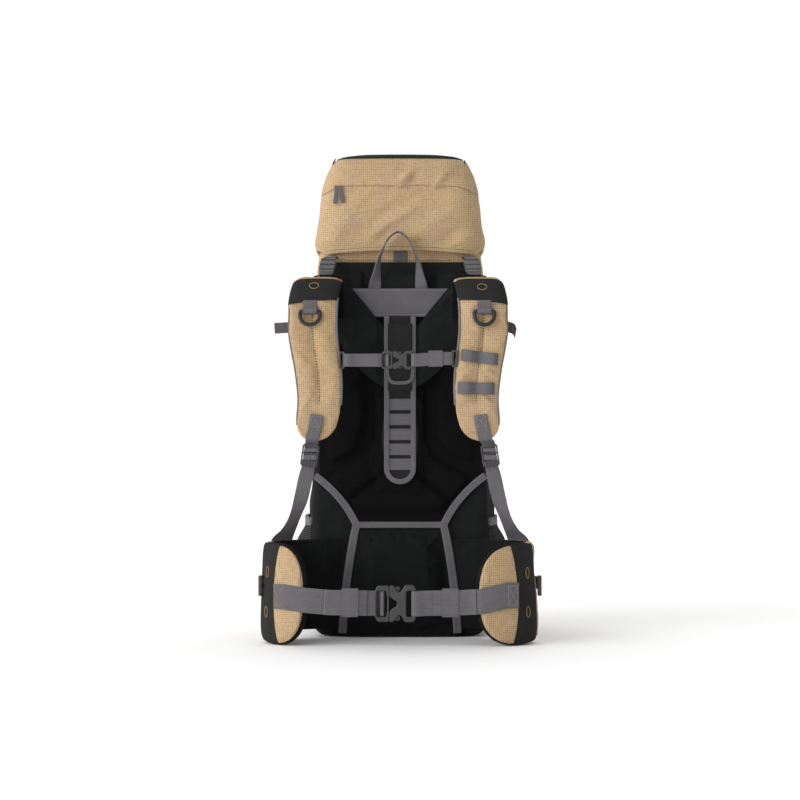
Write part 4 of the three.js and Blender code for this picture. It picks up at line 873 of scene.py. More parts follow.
pull = flat_strap([(-99.2, 709), (-100.3, 694), (-101.7, 680.2)], -128.6, 6.7)
pull.build("zip_pull_cord", "web", ["zip_pull"])
flat_strap([(-94.8, 709), (-92.6, 695), (-89.8, 682.3)], -129.4, 6.5).build("zip_pull_cord_end")
tab = Strap([(0.75, -116.2, 607), (0.75, -116.4, 600), (0.75, -116.2, 590.8)], (1, 0, 0), 22)
tab.build("lid_tab_webbing", "web", ["lid_tab"])

line = [(px, LID_FOOT + 5.8 + LID_ARCH * (1 - (px / ARCH_HALF) ** 2)) for px in np.linspace(-116, 116, 60)]
Drape(lid).row(brown, line, pitch=2.8, wide=1.3, high=0.6)
Drape(bag_upper).row(brown, [(-84, 591.8), (84, 591.8)], pitch=2.8, wide=1.2, high=0.5)
print("lid")

# %% [markdown]
# Two pads are moulded from foam and covered in open mesh: the tall back panel with its air channels, and
# the lumbar pad at its foot. Grey tape covers the seams between them, and black panels turn the corners.

# %% Back panel, lumbar pad, corners and tape
TAPE_FOOT, TAPE_JOINT = np.array([90.3, 6.5]), np.array([69.0, 177.0])
TAPE_SHOULDER, TAPE_BEND = np.array([134.0, 254.0]), np.array([89.0, 222.0])
CHANNEL = [(49, 600), (49, 312), (58, 292), (116, 256)]
CREASE = [(25, 258), (78, 216)]
PANEL_FOOT, PANEL_TOP, PANEL_HALF = 181, 589, 126
LUMBAR_FOOT, LUMBAR_TOP = 1.5, 171.5
PAD_EDGE, PAD_SEWN, BESIDE_TAPE = 6.0, 10, 0.6


def tape_curve(count):
    t = np.linspace(0, 1, count)[:, None]
    return (1 - t) ** 2 * TAPE_SHOULDER + 2 * t * (1 - t) * TAPE_BEND + t**2 * TAPE_JOINT


def tape_x(z):
    wide, high = TAPE_JOINT - TAPE_FOOT
    return TAPE_FOOT[0] + wide * (z - TAPE_FOOT[1]) / high


def panel_half(z):
    x, height = tape_curve(60)[::-1].T
    inside_tape = np.interp(z, height, x) - BESIDE_TAPE
    return np.minimum(PANEL_HALF, np.where(z >= TAPE_SHOULDER[1], PANEL_HALF, inside_tape))


def panel_height(x, z):
    to_edge = np.minimum(np.minimum(panel_half(z) - abs(x), PANEL_TOP - z), z - PANEL_FOOT)
    spine = (1 - ease(29, 41, abs(x))) * (1 - ease(372, 384, z)) * ease(225, 237, z)
    channel = 10.5 * (1 - ease(5, 15, from_lines(abs(x), z, CHANNEL)[0]))
    crease = 6 * (1 - ease(1, 7, from_lines(abs(x), z, CREASE)[0]))
    full = 14 + 4.6 * spine - np.maximum(channel, crease)
    return PAD_EDGE + (np.maximum(full, PAD_EDGE) - PAD_EDGE) * ease(9, 24, to_edge)


def pad_piece(name, z, half, height, look, replaces):
    """Foam pad between a front grid and the bag; half and height are functions of its places."""
    across = np.linspace(-1, 1, 72)
    x = half(z)[:, None] * across
    grid_z = np.broadcast_to(z[:, None], x.shape)
    front = np.stack([x, PANEL_BACK - height(x, grid_z), grid_z], -1)
    back = np.stack([x, np.full(x.shape, PANEL_BACK), grid_z], -1)
    piece = make(name, pillow(front, back), look, replaces)
    to_edge = np.minimum(half(grid_z) - abs(x), np.minimum(z.max() - grid_z, grid_z - z.min()))
    groove = from_lines(abs(x), grid_z, CHANNEL)[0] if look == "mesh" else np.full(x.shape, 99.0)
    under_ladder = (abs(x) < 26) & (look == "mesh")
    held = (to_edge < PAD_SEWN) | (groove < 5) | under_ladder
    puff(piece, np.concatenate([held.ravel(), np.ones(held.size, bool)]), cap=2.5)
    return piece


def lumbar_half(z):
    return tape_x(z) - BESIDE_TAPE


def lumbar_height(x, z):
    to_edge = np.minimum(lumbar_half(z) - abs(x), np.minimum(LUMBAR_TOP - z, z - LUMBAR_FOOT))
    return PAD_EDGE + 14 * ease(2, 34, to_edge)


z = np.linspace(PANEL_TOP, PANEL_FOOT, 110)
back_panel = pad_piece("back_padding", z, panel_half, panel_height, "mesh", ["back_panel"])
z = np.linspace(LUMBAR_TOP, LUMBAR_FOOT, 60)
pad_piece("lumbar_padding", z, lumbar_half, lumbar_height, "soft", ["lumbar_pad"])
two_sided(back_panel, "black", middles(back_panel)[:, 2] > 505)


def bag_back_at(x):
    """Depth of the bag's harness face, which turns away at its rounded corner."""
    past = np.maximum(x - (BAG[0, 1] - NEAR_CORNER), 0)
    return BAG_BACK + NEAR_CORNER - np.sqrt(np.maximum(NEAR_CORNER**2 - past**2, 0))


down = np.linspace(172, 20, 40)
edge = np.vstack([tape_curve(50)[4:], np.column_stack([tape_x(down), down])])
for side in (LEFT, RIGHT):
    x = edge[:, :1] + 1 + (134 - edge[:, :1] - 1) * np.linspace(0, 1, 30)
    z = np.broadcast_to(edge[:, 1:] - 1, x.shape)
    wave = np.sin(z / 8.5 + x / 13) * np.sin(z / 29 + 0.6)
    ripple = 1.1 * np.maximum(wave, 0) * ease(0, 12, x - edge[:, :1])
    grids = [np.stack([side * x, bag_back_at(x) - GAP - deep, z], -1) for deep in (CLOTH + ripple, 0 * x)]
    panel = make(f"corner_cloth_{NAMES[side]}", pillow(*grids), "black", [f"corner_panel_{NAMES[side]}"])

for side in (LEFT, RIGHT):
    share = np.linspace(0.93, 0, 9)[:, None]
    bowed = TAPE_FOOT + (TAPE_JOINT - TAPE_FOOT) * share + np.array([3.4, 0]) * np.sin(math.pi * share)
    run = np.vstack([tape_curve(12), bowed])
    width = np.interp(np.arange(21), (0, 10, 13, 20), (11.5, 11.5, 13, 13))
    tape = flat_strap(run * (side, 1), -123.1, width)
    tape.build(f"seam_tape_{NAMES[side]}", "web", ["seam_tape"] if side == LEFT else [])
    for inset in (-4.4, 4.4):
        tape.line(grey_line, (4, inset), (tape.run[-1] - 2, inset), pitch=3.2, wide=0.5, high=0.25)
flat_strap([(-66, 176.6), (0, 176.6), (66, 176.6)], -123.4, 9.6).build("seam_tape_cross")
print("back panel, lumbar pad, corners and tape")

# %% [markdown]
# The yoke joins the shoulder straps and slides on a ladder of webbing, so the harness can be set to the
# wearer's back. A tongue with a bound end covers the join, and the haul loop is sewn to a panel above.

# %% Yoke, ladder, tongue and haul loop
YOKE = np.array([  # upper edge x, z and lower edge x, z
    (0, 474, 0, 385.5), (15, 478, 15, 388.5), (27, 489, 29, 395), (45, 511, 50, 409), (60, 529.5, 70, 428),
    (74, 546, 89, 453), (81, 556, 112, 490), (88, 566, 148, 557),
])
YOKE_BACK = -132.4
RAIL_X, RAIL_BEND, RUNG_TOP, RUNG_PITCH, RUNG_HIGH = 20.8, 265.6, 374.6, 23.4, 17.9
half_yoke = spline(YOKE, 52)
stations = np.vstack([half_yoke[:0:-1] * (-1, 1, -1, 1), half_yoke])
share = np.linspace(0, 1, 34)
x = stations[:, :1] + (stations[:, 2:3] - stations[:, :1]) * share
z = stations[:, 1:2] + (stations[:, 3:] - stations[:, 1:2]) * share
side_edge = np.minimum(share, 1 - share)[None]
row = np.arange(len(x))
from_ends = np.minimum(row, len(x) - 1 - row)[:, None]
rise = 3.4 + 4.2 * ease(0, 0.16, side_edge) * ease(0, 6, from_ends)
thick = 2.2 + (rise - 2.2) * ease(27, 40, abs(x))
front = np.stack([x, YOKE_BACK - thick, z], -1)
yoke = make("yoke_padding", pillow(front, front * (1, 0, 1) + (0, YOKE_BACK, 0)), "black", ["yoke"])
held = (side_edge < 0.05) | (abs(x) < 32)
puff(yoke, np.concatenate([held.ravel(), np.ones(held.size, bool)]), cap=2.0)

angles = np.linspace(-math.pi / 2, math.pi / 2, 15)
bend = [(RAIL_X * math.sin(a), RAIL_BEND - RAIL_X * math.cos(a)) for a in angles]
down = [(-RAIL_X, z) for z in (504, 420, 340, 285)]
rails = [*down, *bend, *[(-x, z) for x, z in down[::-1]]]
flat_strap(rails, -137.4, 8.2, 1.8).build("ladder_rails", "rung", ["ladder"])
backing = flat_strap([(0, 504), (0, 400), (0, 266), (0, 248.5)], -135, [40, 40, 40, 24], 1.2)
backing.build("ladder_backing", "dark")
for i in range(5):
    middle = RUNG_TOP - RUNG_PITCH * i - RUNG_HIGH / 2
    path = [(px, -135.6 - 0.8 * (1 - (px / 25) ** 2), middle) for px in (-24, -20, -10, 0, 10, 20, 24)]
    Strap(path, (0, 0, 1), RUNG_HIGH).build(f"ladder_rung_{i + 1}", "rung")

tongue = Strap([(0, -139.6, 492), (0, -139.8, 440), (0, -139.6, 387)], (1, 0, 0), 37.6, 1.8)
tongue = tongue.build("tongue_cloth", "dark", ["tongue"])
half_u = [(20.2, 450), (20.2, 430), (20, 416), (18.8, 408.6), (16, 403), (11.4, 400.2), (5.6, 399.4)]
whole_u = [(-px, pz) for px, pz in half_u] + half_u[::-1]
flat_strap(whole_u, -141.4, 5.5).build("tongue_binding")

HAUL_PANEL = [(-50, 503), (50, 503), (84, 547.5), (-84, 547.5)]
panel = place("haul_cloth", moulded([HAUL_PANEL], WEB, 0.5, 1.5), (0, -131.2, 0), "panel", ["haul_panel"])
on_panel = Drape(panel)
for z, half in ((544.8, 80), (506.3, 51)):
    on_panel.row(grey_line, [(-half, z), (half, z)], pitch=3.0, wide=1.0, high=0.5)

HAUL_LOOP = np.array([  # x, y, z and quarter turns about its own length
    (-40, -128.4, 540, 0), (-40, -130.4, 546.5, 0), (-39.4, -134.6, 552, 0.2), (-37.4, -140, 566, 0.54),
    (-33.4, -147, 590, 0.86), (-25, -149, 612, 1), (-14, -150.5, 628.6, 1), (-3, -151, 634.8, 1),
    (8, -150.5, 628.6, 1), (19, -149, 612, 1), (27.4, -147, 590, 1.14), (31.4, -140, 566, 1.46),
    (33.4, -134.6, 552, 1.8), (34, -130.4, 546.5, 2), (34, -128.4, 540, 2),
])
angle = HAUL_LOOP[:, 3] * math.pi / 2
turned = np.column_stack([np.cos(angle), np.sin(angle), np.zeros(len(angle))])
Strap(HAUL_LOOP[:, :3], turned, HARNESS_WEB, 2.4).build("haul_loop_webbing", "web", ["haul_loop"])
print("yoke, ladder, tongue and haul loop")

# %% [markdown]
# Each shoulder strap is a curved foam pad: tan cloth outside, black mesh toward the wearer, a seam down
# its middle, grey piping along its inner edge and a dark cap over the shoulder.

# %% Shoulder straps
PAD = np.array([  # x, y, z, width, from behind the shoulder over it and down
    (116, -147.8, 500, 62), (118, -148.6, 528, 66), (120, -156, 549, 70), (121.6, -170, 556, 71),
    (125, -186, 550.5, 72), (128.4, -197.5, 536.5, 72.6), (130.4, -203.5, 521, 73),
    (130.9, -210.5, 500, 72.5), (130.9, -216.5, 478, 73), (128.5, -221, 456.5, 72),
    (122.2, -224, 415.5, 69.5), (120, -222, 372.5, 65.5), (123.6, -218, 339, 62), (125.4, -216.4, 328, 57),
    (126.6, -215.4, 319.5, 46), (127.2, -214.8, 313.5, 31), (127.4, -214.4, 310.6, 15),
])
SEAM = -0.015  # where the middle seam lies, as a share of the half width
PAD_HALF_THICK = 7.0
pad_rows = spline(PAD, 140)
pad_run = lengths(pad_rows[:, :3])
pad_along = unit(np.gradient(pad_rows[:, 1:3], axis=0))
pad_out = np.column_stack([pad_along[:, 1], -pad_along[:, 0]])
crest = int(np.argmax(pad_rows[:, 2]))
on_front = np.arange(len(pad_rows)) > crest
seam_part = on_front * ease(510, 498, pad_rows[:, 2]) * ease(358, 374, pad_rows[:, 2])
face_across = np.sin(np.linspace(-math.pi / 2, math.pi / 2, 31))
back_across = np.sin(np.linspace(math.pi / 2, -math.pi / 2, 19))[1:-1]
end_round = np.sqrt(np.clip((pad_run[-1] - pad_run + 2) / 16, 0.15, 1))


def pad_surface(side, grow, across, face):
    """Grid of points on one face of a shoulder pad, a little outside it."""
    from_seam = (across[None] - SEAM) * pad_rows[:, 3:] / 2
    groove = 0.36 * bell(from_seam, 0, 3.2) * seam_part[:, None]
    broad = 0.42 * bell(from_seam, 0, 10) * seam_part[:, None]
    swell = (1 - np.abs(across) ** 4.5) ** 0.6
    sunk = groove + broad if face > 0 else 0
    deep = face * (swell[None] - sunk) * (PAD_HALF_THICK * end_round[:, None] + grow)
    x = side * pad_rows[:, :1] + HARNESS_SHIFT + across[None] * (pad_rows[:, 3:] / 2 + grow)
    y, z = pad_rows[:, 1:2] + pad_out[:, :1] * deep, pad_rows[:, 2:3] + pad_out[:, 1:] * deep
    return np.stack([x, y, z], -1)


pads, caps = {}, {}
for side, name in NAMES.items():
    faces = [pad_surface(side, 0, face_across, 1), pad_surface(side, 0, back_across, -1)]
    rings = np.concatenate(faces, axis=1)
    label = f"shoulder_pad_{name}"
    pad = pads[side] = make(f"{label}_foam", skin(rings), "tan", [label], sharp=70)
    count = rings.shape[1]
    across = np.concatenate([face_across, back_across])
    front_point = np.arange(count) < len(face_across)
    held = np.broadcast_to((abs(across) > 0.97)[None], rings.shape[:2]).copy()
    held |= (np.abs(across - SEAM) < 0.12)[None] & front_point[None] & (seam_part > 0.3)[:, None]
    held[:3] = held[-3:] = True
    puff(pad, held.ravel(), pressure=3.0, cap=1.8)
    row, column = np.divmod(np.arange(len(pad.data.polygons)), count)
    inside = (column >= len(face_across) - 1) | (row < crest - 3)
    inside[-2] = True
    two_sided(pad, "mesh", inside)

    for label, edge, radius, foot in (("inner", -side, 1.9, 364), ("outer", side, 1.0, 334)):
        x, y, z, width = pad_rows[on_front & (pad_rows[:, 2] < 530) & (pad_rows[:, 2] > foot)].T
        path = np.column_stack([side * x + HARNESS_SHIFT + edge * (width / 2 + 0.3), y - 1.5, z])
        make(f"strap_piping_{name}_{label}", tube(path, radius), "cord")

    cap_start = pad_run[crest] + 13
    cap_end = np.interp(-(521.6 - 3.4 * side * face_across), -pad_rows[crest:, 2], pad_run[crest:])
    layers = []
    for grow in (GAP + WEB, GAP + 0.2):
        whole = pad_surface(side, grow, face_across, 1)
        runs = [np.linspace(cap_start, end, 26) for end in cap_end]
        layers.append(np.stack([pick(run, pad_run, whole[:, j]) for j, run in enumerate(runs)], 1))
    cap = caps[side] = make(f"strap_cap_{name}_cloth", pillow(*layers), "dark", [f"strap_cap_{name}"])

for side, x, z in ((LEFT, -132.2, 548.3), (RIGHT, 126, 546.4)):
    Drape(caps[side]).eyelet(f"cap_ring_{NAMES[side]}", x, z, (7.2, 5.6))
for side in (LEFT, RIGHT):
    seam = [(side * row[0] + HARNESS_SHIFT + SEAM * row[3] / 2, row[2]) for row in pad_rows[seam_part > 0.4]]
    Drape(pads[side]).row(dark_line, seam, pitch=4.3, share=0.55, wide=1.5, high=0.6)
print("shoulder straps")

# %% [markdown]
# On each strap a tab of webbing holds a D-ring that swings on its bar. The ring is its own body, so its
# piece rides that body. Ring and tab are drawn beside the tab's seat.

# %% D-rings and their tabs
TAB_SEAT, TAB_TILT, RING_X, RING_SHIFT = (-216.1, 507.2), -0.32, 133.5, -4.4
BAR_OUT, EYE_RADIUS, BOW_RADIUS, BOW_DROP = -4.8, 4.05, 15, -7.4


def on_tab(side, rows):
    """Places drawn beside the tab's seat, leaned back with the strap."""
    x, y, z = np.array(rows, float).T
    cos, sin = math.cos(TAB_TILT), math.sin(TAB_TILT)
    return np.column_stack([
        side * RING_X + RING_SHIFT + x, TAB_SEAT[0] + y * cos - z * sin, TAB_SEAT[1] + y * sin + z * cos])


bow = [(BOW_RADIUS * math.cos(a), BOW_DROP + BOW_RADIUS * math.sin(a)) for a in np.linspace(0, -math.pi, 25)]
wire = [(-12.6, 0), (-6, 0), (0, 0), (6, 0), (12.6, 0), (14.6, -1), (15, -3), *bow, (-15, -3), (-14.6, -1)]
angles = np.linspace(0, -1.42 * math.pi, 22)
eye = [(BAR_OUT + EYE_RADIUS * math.cos(a), EYE_RADIUS * math.sin(a)) for a in angles]
folded = [(-0.8, 18.4), (-0.8, 8), (-0.75, 3), *eye, (-3.2, 6.6), (-2.6, 10), (-2.3, 18.4)]
for side, name in NAMES.items():
    node = f"d_ring_{name}"
    ring = tube(on_tab(side, [(px, BAR_OUT, pz) for px, pz in wire]), 2.9, closed=True, sides=16)
    make(f"{node}_wire", ring, "wire", [node], body=node, sharp=60)
    tab = Strap(on_tab(side, [(0, py, pz) for py, pz in folded]), (1, 0, 0), 21.5, 1.5, 0.8)
    tab.build(f"d_ring_tab_{name}_webbing", "web", [f"d_ring_tab_{name}"])
print("D-rings and their tabs")

# %% [markdown]
# The strap's tail is sewn to the pad and folds through a ladder lock. A lower strap runs from the lock back
# to the hip belt and widens where it is sewn on. A lock is a flat plate with slots, so the webbing inside it
# is listed as steps out of and up that plate.

# %% Strap tails, ladder locks and lower straps
LOCK_SPOT, LOCK_LEAN = np.array([138, -219.5, 287.5]), -0.14
SEWN_TAIL = np.array([(124.8, -229.4, 350), (126.5, -227.8, 338), (129.4, -225, 324), (132.4, -222.2, 313)])
TAIL_IN_LOCK = [(-3.6, 18), (-3.8, 14), (-1, 11.8), (1.6, 9.4), (1.6, 7.2), (-1.2, 5.6), (-3.4, 4.6)]
STRAP_IN_LOCK = [
    (-3.4, 3.4), (-1, 1.6), (1.9, -0.4), (2.2, -3), (1.6, -5.6), (-1.6, -7.6), (-3.8, -11), (-4.2, -17),
]
LOWER_STRAP = np.array([  # x, y, z, width, turn toward the wearer
    (142.5, -212.5, 262, 21.5, 0), (145.6, -209.5, 250, 22, 0), (148.9, -206, 234.4, 22, 0.05),
    (152.7, -202, 219, 22, 0.2), (158, -197, 203, 21.5, 0.5), (164.3, -190, 187.5, 22, 0.6),
    (172.6, -178, 171.5, 27, 0.6), (183.6, -164.5, 155, 40, 0.66), (186, -161.5, 147, 40, 0.7),
])


def lock_mesh(width, height, thick, slots):
    """Plate with cut corners and a slot for each pair of heights."""
    w, h, cut = width / 2, height / 2, 3.0
    half = [(w - cut, -h), (w, cut - h), (w, h - cut), (w - cut, h)]
    outline = [(cut - w, -h), *half, *[(-x, z) for x, z in half[:0:-1]]]
    clear = w - 2.4
    return moulded([outline, *[box(-clear, clear, low, high) for low, high in slots]], thick, 1.0)


def in_plate(spot, tilt, lean, rows):
    """Places given as steps out of and up a plate that is tilted back and then leaned sideways."""
    out, up = np.array(rows, float).T
    y, z = -out * math.cos(tilt) - up * math.sin(tilt), -out * math.sin(tilt) + up * math.cos(tilt)
    return spot + np.column_stack([z * math.sin(lean), y, z * math.cos(lean)])


for side, name in NAMES.items():
    mirror, lean = np.array([side, 1, 1]), LOCK_LEAN * side
    spot = LOCK_SPOT * mirror
    hidden = in_plate(spot, 0, lean, TAIL_IN_LOCK)
    tail = Strap(np.vstack([SEWN_TAIL * mirror + (-2, 0, 0), hidden]), (1, 0, 0), HARNESS_WEB, step=1.0)
    tail.build(f"strap_tail_{name}_webbing", "web", [f"strap_tail_{name}"])
    tail.face = 1 if tail.out[3, 1] < 0 else -1
    tail.box_cross(grey_line, 2, 18, 7.2, pitch=2.8, wide=0.8, high=0.45)

    plate = lock_mesh(26, 35, 4.5, [(4.6, 12.9), (-7.7, 2.2)])
    turn = Matrix.Rotation(lean, 4, "Y")
    place(f"ladder_lock_{name}_moulding", plate, spot, "plastic", [f"ladder_lock_{name}"], turn)
    # The teeth are drawn in the lighter rim plastic, a painted highlight along the lock's ridges.
    tooth = in_plate(spot, 0, lean, [(2.2, -10), (2.9, -12), (2.9, -15), (2.2, -17)])
    for i, step in enumerate((-9, -4.5, 0, 4.5, 9)):
        make(f"ladder_lock_{name}_tooth_{i + 1}", tube(tooth + (step, 0, 0), 0.8), "rim")

    through = in_plate(spot, 0, lean, STRAP_IN_LOCK)
    turn = np.concatenate([np.zeros(len(through)), LOWER_STRAP[:, 4]])
    across = np.column_stack([side * np.cos(turn), -np.sin(turn), np.zeros(len(turn))])
    widths = np.concatenate([np.full(len(through), HARNESS_WEB), LOWER_STRAP[:, 3]])
    strap = Strap(np.vstack([through, LOWER_STRAP[:, :3] * mirror]), across, widths, step=1.2)
    strap.build(f"lower_strap_{name}_webbing", "web", [f"lower_strap_{name}"])
print("strap tails, ladder locks and lower straps")

# %% [markdown]
# A load lifter runs from the bag over each shoulder strap. Its webbing is threaded over the three bars of a
# lock that is tilted and leaned with it, and a black patch lies on the shoulder under its end.

# %% Load lifters
LIFTER_SPOT, LIFTER_TILT, LIFTER_LEAN = np.array([112.6, -156, 581.6]), -0.7, -0.22
LIFTER_START = np.array([(106.6, -113.2, 595.2), (106.8, -125.5, 596.6), (107.6, -136, 596.4)])
LIFTER_END = np.array([(113.5, -167.5, 565.4)])
LIFTER_OVER_BARS = [
    (1.4, 15.6), (2.2, 13), (-1.2, 10.4), (2.4, 8.4), (3.6, 5.2), (2.4, 2.2), (-1.2, 0.2), (2.4, -1.8),
    (3.6, -4.8), (2.4, -7.8), (-1.2, -9.6), (2.2, -11.4), (2.8, -13.2), (0.6, -15.6),
]
LIFTER_PATCH = np.array([
    (133, -176, 563.6), (126, -174.5, 565.3), (111, -173, 565.9), (96, -174.5, 565.3), (86, -176, 564),
])

for side, name in NAMES.items():
    mirror = np.array([side, 1, 1])
    spot, lean = LIFTER_SPOT * mirror, LIFTER_LEAN * side
    over_bars = in_plate(spot, LIFTER_TILT, lean, LIFTER_OVER_BARS)
    widths = np.concatenate([np.full(5, 19.0), np.full(12, 22.0), [21.0]])
    path = np.vstack([LIFTER_START * mirror, over_bars, LIFTER_END * mirror])
    lifter = Strap(path, (1, 0, 0), widths, step=0.7)
    lifter.build(f"load_lifter_{name}_webbing", "web", [f"load_lifter_{name}"])
    # Three dark plastic tubes lie in the lock's slots in front of the webbing: painted shade for the gaps
    # between its ridges.
    for i, up in enumerate((10.4, 0.2, -9.6)):
        middle = in_plate(spot, LIFTER_TILT, lean, [(2.3, up)])
        bar = tube(middle + [(px, 0, 0) for px in (-10.6, 0, 10.6)], 1.25)
        make(f"lifter_lock_{name}_bar_{i + 1}", bar, "plastic")
    plate = lock_mesh(25, 26, 4, [(8, 11.4), (-2.5, 2.5), (-11.4, -8)])
    turn = Matrix.Rotation(lean, 4, "Y") @ Matrix.Rotation(LIFTER_TILT, 4, "X")
    place(f"lifter_lock_{name}_moulding", plate, spot, "plastic", [f"lifter_lock_{name}"], turn)
    Strap(LIFTER_PATCH * mirror, (0, 1, 0), 13, 1.3).build(f"lifter_patch_{name}", "black")
print("load lifters")

# %% [markdown]
# Two short elastic loops cross the right strap. Their depth is taken from the padded strap itself, so they
# follow its swell and stand off it a little between their sewn ends.

# %% Elastic loops
ELASTICS = {  # x, z of both ends
    "upper": ((93.4, 441.3), (149.4, 434.3)), "lower": ((88.2, 391.3), (144.2, 389.6)),
}
on_right = Drape(pads[RIGHT])
share = np.array([0, 0.03, 0.1, 0.25, 0.5, 0.75, 0.9, 0.97, 1])
to_end = np.minimum(share, 1 - share)
lift = 1.2 + 7 * ease(0, 0.12, to_end) - 3 * ease(0.2, 0.5, to_end)
for label, (start, end) in ELASTICS.items():
    x, z = (a + (b - a) * share for a, b in zip(start, end))
    foot = np.array([on_right.drop(px, pz)[0][1] for px, pz in zip(np.clip(x, 95, 147), z)])
    loop = Strap(np.column_stack([x, foot - lift, z]), (0, 0, 1), 18, 1.5)
    loop.build(f"elastic_{label}_webbing", "web", [f"elastic_loop_{label}"])
print("elastic loops")

# %% [markdown]
# Both straps close with side-release buckles: a plug with two springy arms clicks into a socket whose
# two skins leave the arms showing at the sides. The half outlines are shares of the buckle's length and
# height, so one drawing serves both sizes.

# %% Buckles and sternum strap
BUCKLE = {
    "frame": [(0.012, 0.2), (0.03, 0.36), (0.09, 0.5), (0.365, 0.5)],
    "plug_slot": [(0.06, 0.37), (0.3, 0.37), (0.325, 0.2)],
    "arm": [
        (0.34, 0.24), (0.48, 0.2), (0.62, 0.34), (0.65, 0.42), (0.6, 0.48), (0.52, 0.47), (0.44, 0.4),
        (0.34, 0.4),
    ],
    "skin": [
        (0.565, 0.03), (0.55, 0.08), (0.47, 0.12), (0.38, 0.22), (0.38, 0.5), (0.475, 0.5), (0.53, 0.4),
        (0.57, 0.33), (0.64, 0.31), (0.69, 0.38), (0.73, 0.46), (0.765, 0.5), (0.95, 0.5), (1, 0.43),
    ],
    "core": [(0.58, 0.03), (0.58, 0.13), (0.7, 0.16), (0.7, 0.36), (0.765, 0.5), (0.95, 0.5), (1, 0.43)],
    "socket_slot": [(0.785, 0.3), (0.795, 0.37), (0.945, 0.37)],
}


def buckle(prefix, at, length, height, thick):
    def drawn(key, flip=1):
        return [((u - 0.5) * length, flip * v * height) for u, v in BUCKLE[key]]

    def both(key):
        return drawn(key) + drawn(key, -1)[::-1]

    def layer(name, outlines, deep, share, replaces=()):
        x, y, z = at
        mesh = moulded(outlines, share * thick, min(1.1, share * thick * 0.3), 2.0)
        return place(f"{prefix}_{name}", mesh, (x, y + deep * thick, z), "plastic", replaces)

    layer("plug_frame", [both("frame"), both("plug_slot")], 0, 1, [f"{prefix}_plug"])
    layer("plug_arm_upper", [drawn("arm")], 0, 0.3)
    layer("plug_arm_lower", [drawn("arm", -1)], 0, 0.3)
    layer("socket_face", [both("skin"), both("socket_slot")], -0.3275, 0.345, [f"{prefix}_socket"])
    layer("socket_core", [both("core"), both("socket_slot")], 0, 0.4)
    layer("socket_back", [both("skin"), both("socket_slot")], 0.3275, 0.345)


S_X, S_Y, S_Z, S_LONG, S_THICK = -4.6, -231.5, 433.4, 51.6, 8
S_RISE = 2.4  # the right end of the sternum strap sits higher
buckle("sternum", (S_X, S_Y, S_Z), S_LONG, 26.6, S_THICK)
start, end = S_X - S_LONG / 2, S_X + S_LONG / 2
behind, front_y = S_Y + S_THICK / 2 + GAP + WEB / 2, S_Y - S_THICK / 2 - GAP - WEB / 2
path = [
    (-86, S_Y + 1.2), (-80, S_Y), (-68, behind - 1.6), (start - 4, behind), (start + 3.4, behind),
    (start + 8, behind - 2.6), (start + 9.6, S_Y - 0.6), (start + 12, S_Y - 2), (start + 13.4, S_Y + 0.6),
]
sternum = Strap([(px, py, S_Z) for px, py in path], (0, 0, 1), HARNESS_WEB, step=0.9)
sternum.build("sternum_left_webbing", "web", ["sternum_web_left"])
bar = end - 1
path = [
    (end + 16, behind + 0.2), (end + 2, behind), (bar, behind), (bar - 2, behind - 1.6), (bar - 2.2, S_Y),
    (bar - 2, front_y + 1.6), (bar, front_y), (end + 1, front_y), (end + 8, front_y + 2), (46, S_Y - 1),
    (62, S_Y), (74, S_Y + 0.6), (79.4, S_Y + 2),
]
path = [(px, py, S_Z + S_RISE * float(ease(end, 60, px))) for px, py in path]
sternum = Strap(path, (0, 0, 1), HARNESS_WEB, step=0.9)
sternum.build("sternum_right_webbing", "web", ["sternum_web_right"])
path = [(43.5, S_Y - 1.3, S_Z + 2.2), (54, S_Y - 0.6, S_Z + 2.3), (65, S_Y + 0.2, S_Z + S_RISE)]
Strap(path, (0, 0, 1), 24.5, 5).build("sternum_keeper")
for name, x, up in (("left", -93.4, 0), ("right", 79.2, S_RISE)):
    mesh = moulded([box(0, 9, -13, 13), box(3, 6, -10.6, 10.6)], 4.5, 1.0, 1.5)
    node = f"sternum_slider_{name}"
    place(f"{node}_moulding", mesh, (x, S_Y + 3.95, S_Z + up), "plastic", [node])
print("buckles and sternum strap")

# %% [markdown]
# The hip belt is one padded wing each side, wrapped forward so that the tips nearly meet the buckle. A place
# on a wing is a share of its length, a step out from its middle and a height.

# %% Shape of the hip belt
WING_START = [
    (70, -120.1, 0), (82, -120.6, 0), (112, -126.5, 0), (150, -138, 0), (183, -160, 0), (203.4, -192, 0),
]
WING_END = {  # the right wing is turned a little more toward the middle
    LEFT: [(197.5, -215, 0), (180, -239, 0), (141, -258, 0)],
    RIGHT: [(200, -213, 0), (187, -235, 0), (158, -253, 0), (117, -264, 0)],
}
WING_THICK = np.array([
    (0, 2.6), (0.03, 2.8), (0.09, 9), (0.18, 16), (0.3, 18), (0.74, 18), (0.81, 17), (0.87, 16), (0.92, 15),
    (0.96, 13), (0.985, 11), (1, 8),
])
WING_TOP, TIP_MIDDLE, TIP_POWER = 154.5, 77.5, 2.5
WING_LEAN = {LEFT: -3.4, RIGHT: -6}
TIP_SEAM = {LEFT: (193, 8.5), RIGHT: (181, 10)}  # where the tan begins at mid height, and how it curves in
TIP_END = {LEFT: 147, RIGHT: 120}


def wing_thick(along):
    return np.interp(along, *WING_THICK.T)


def rounded_edge(rise):
    return 0.3 + 0.7 * np.sqrt(1 - np.abs(2 * rise - 1) ** 8)


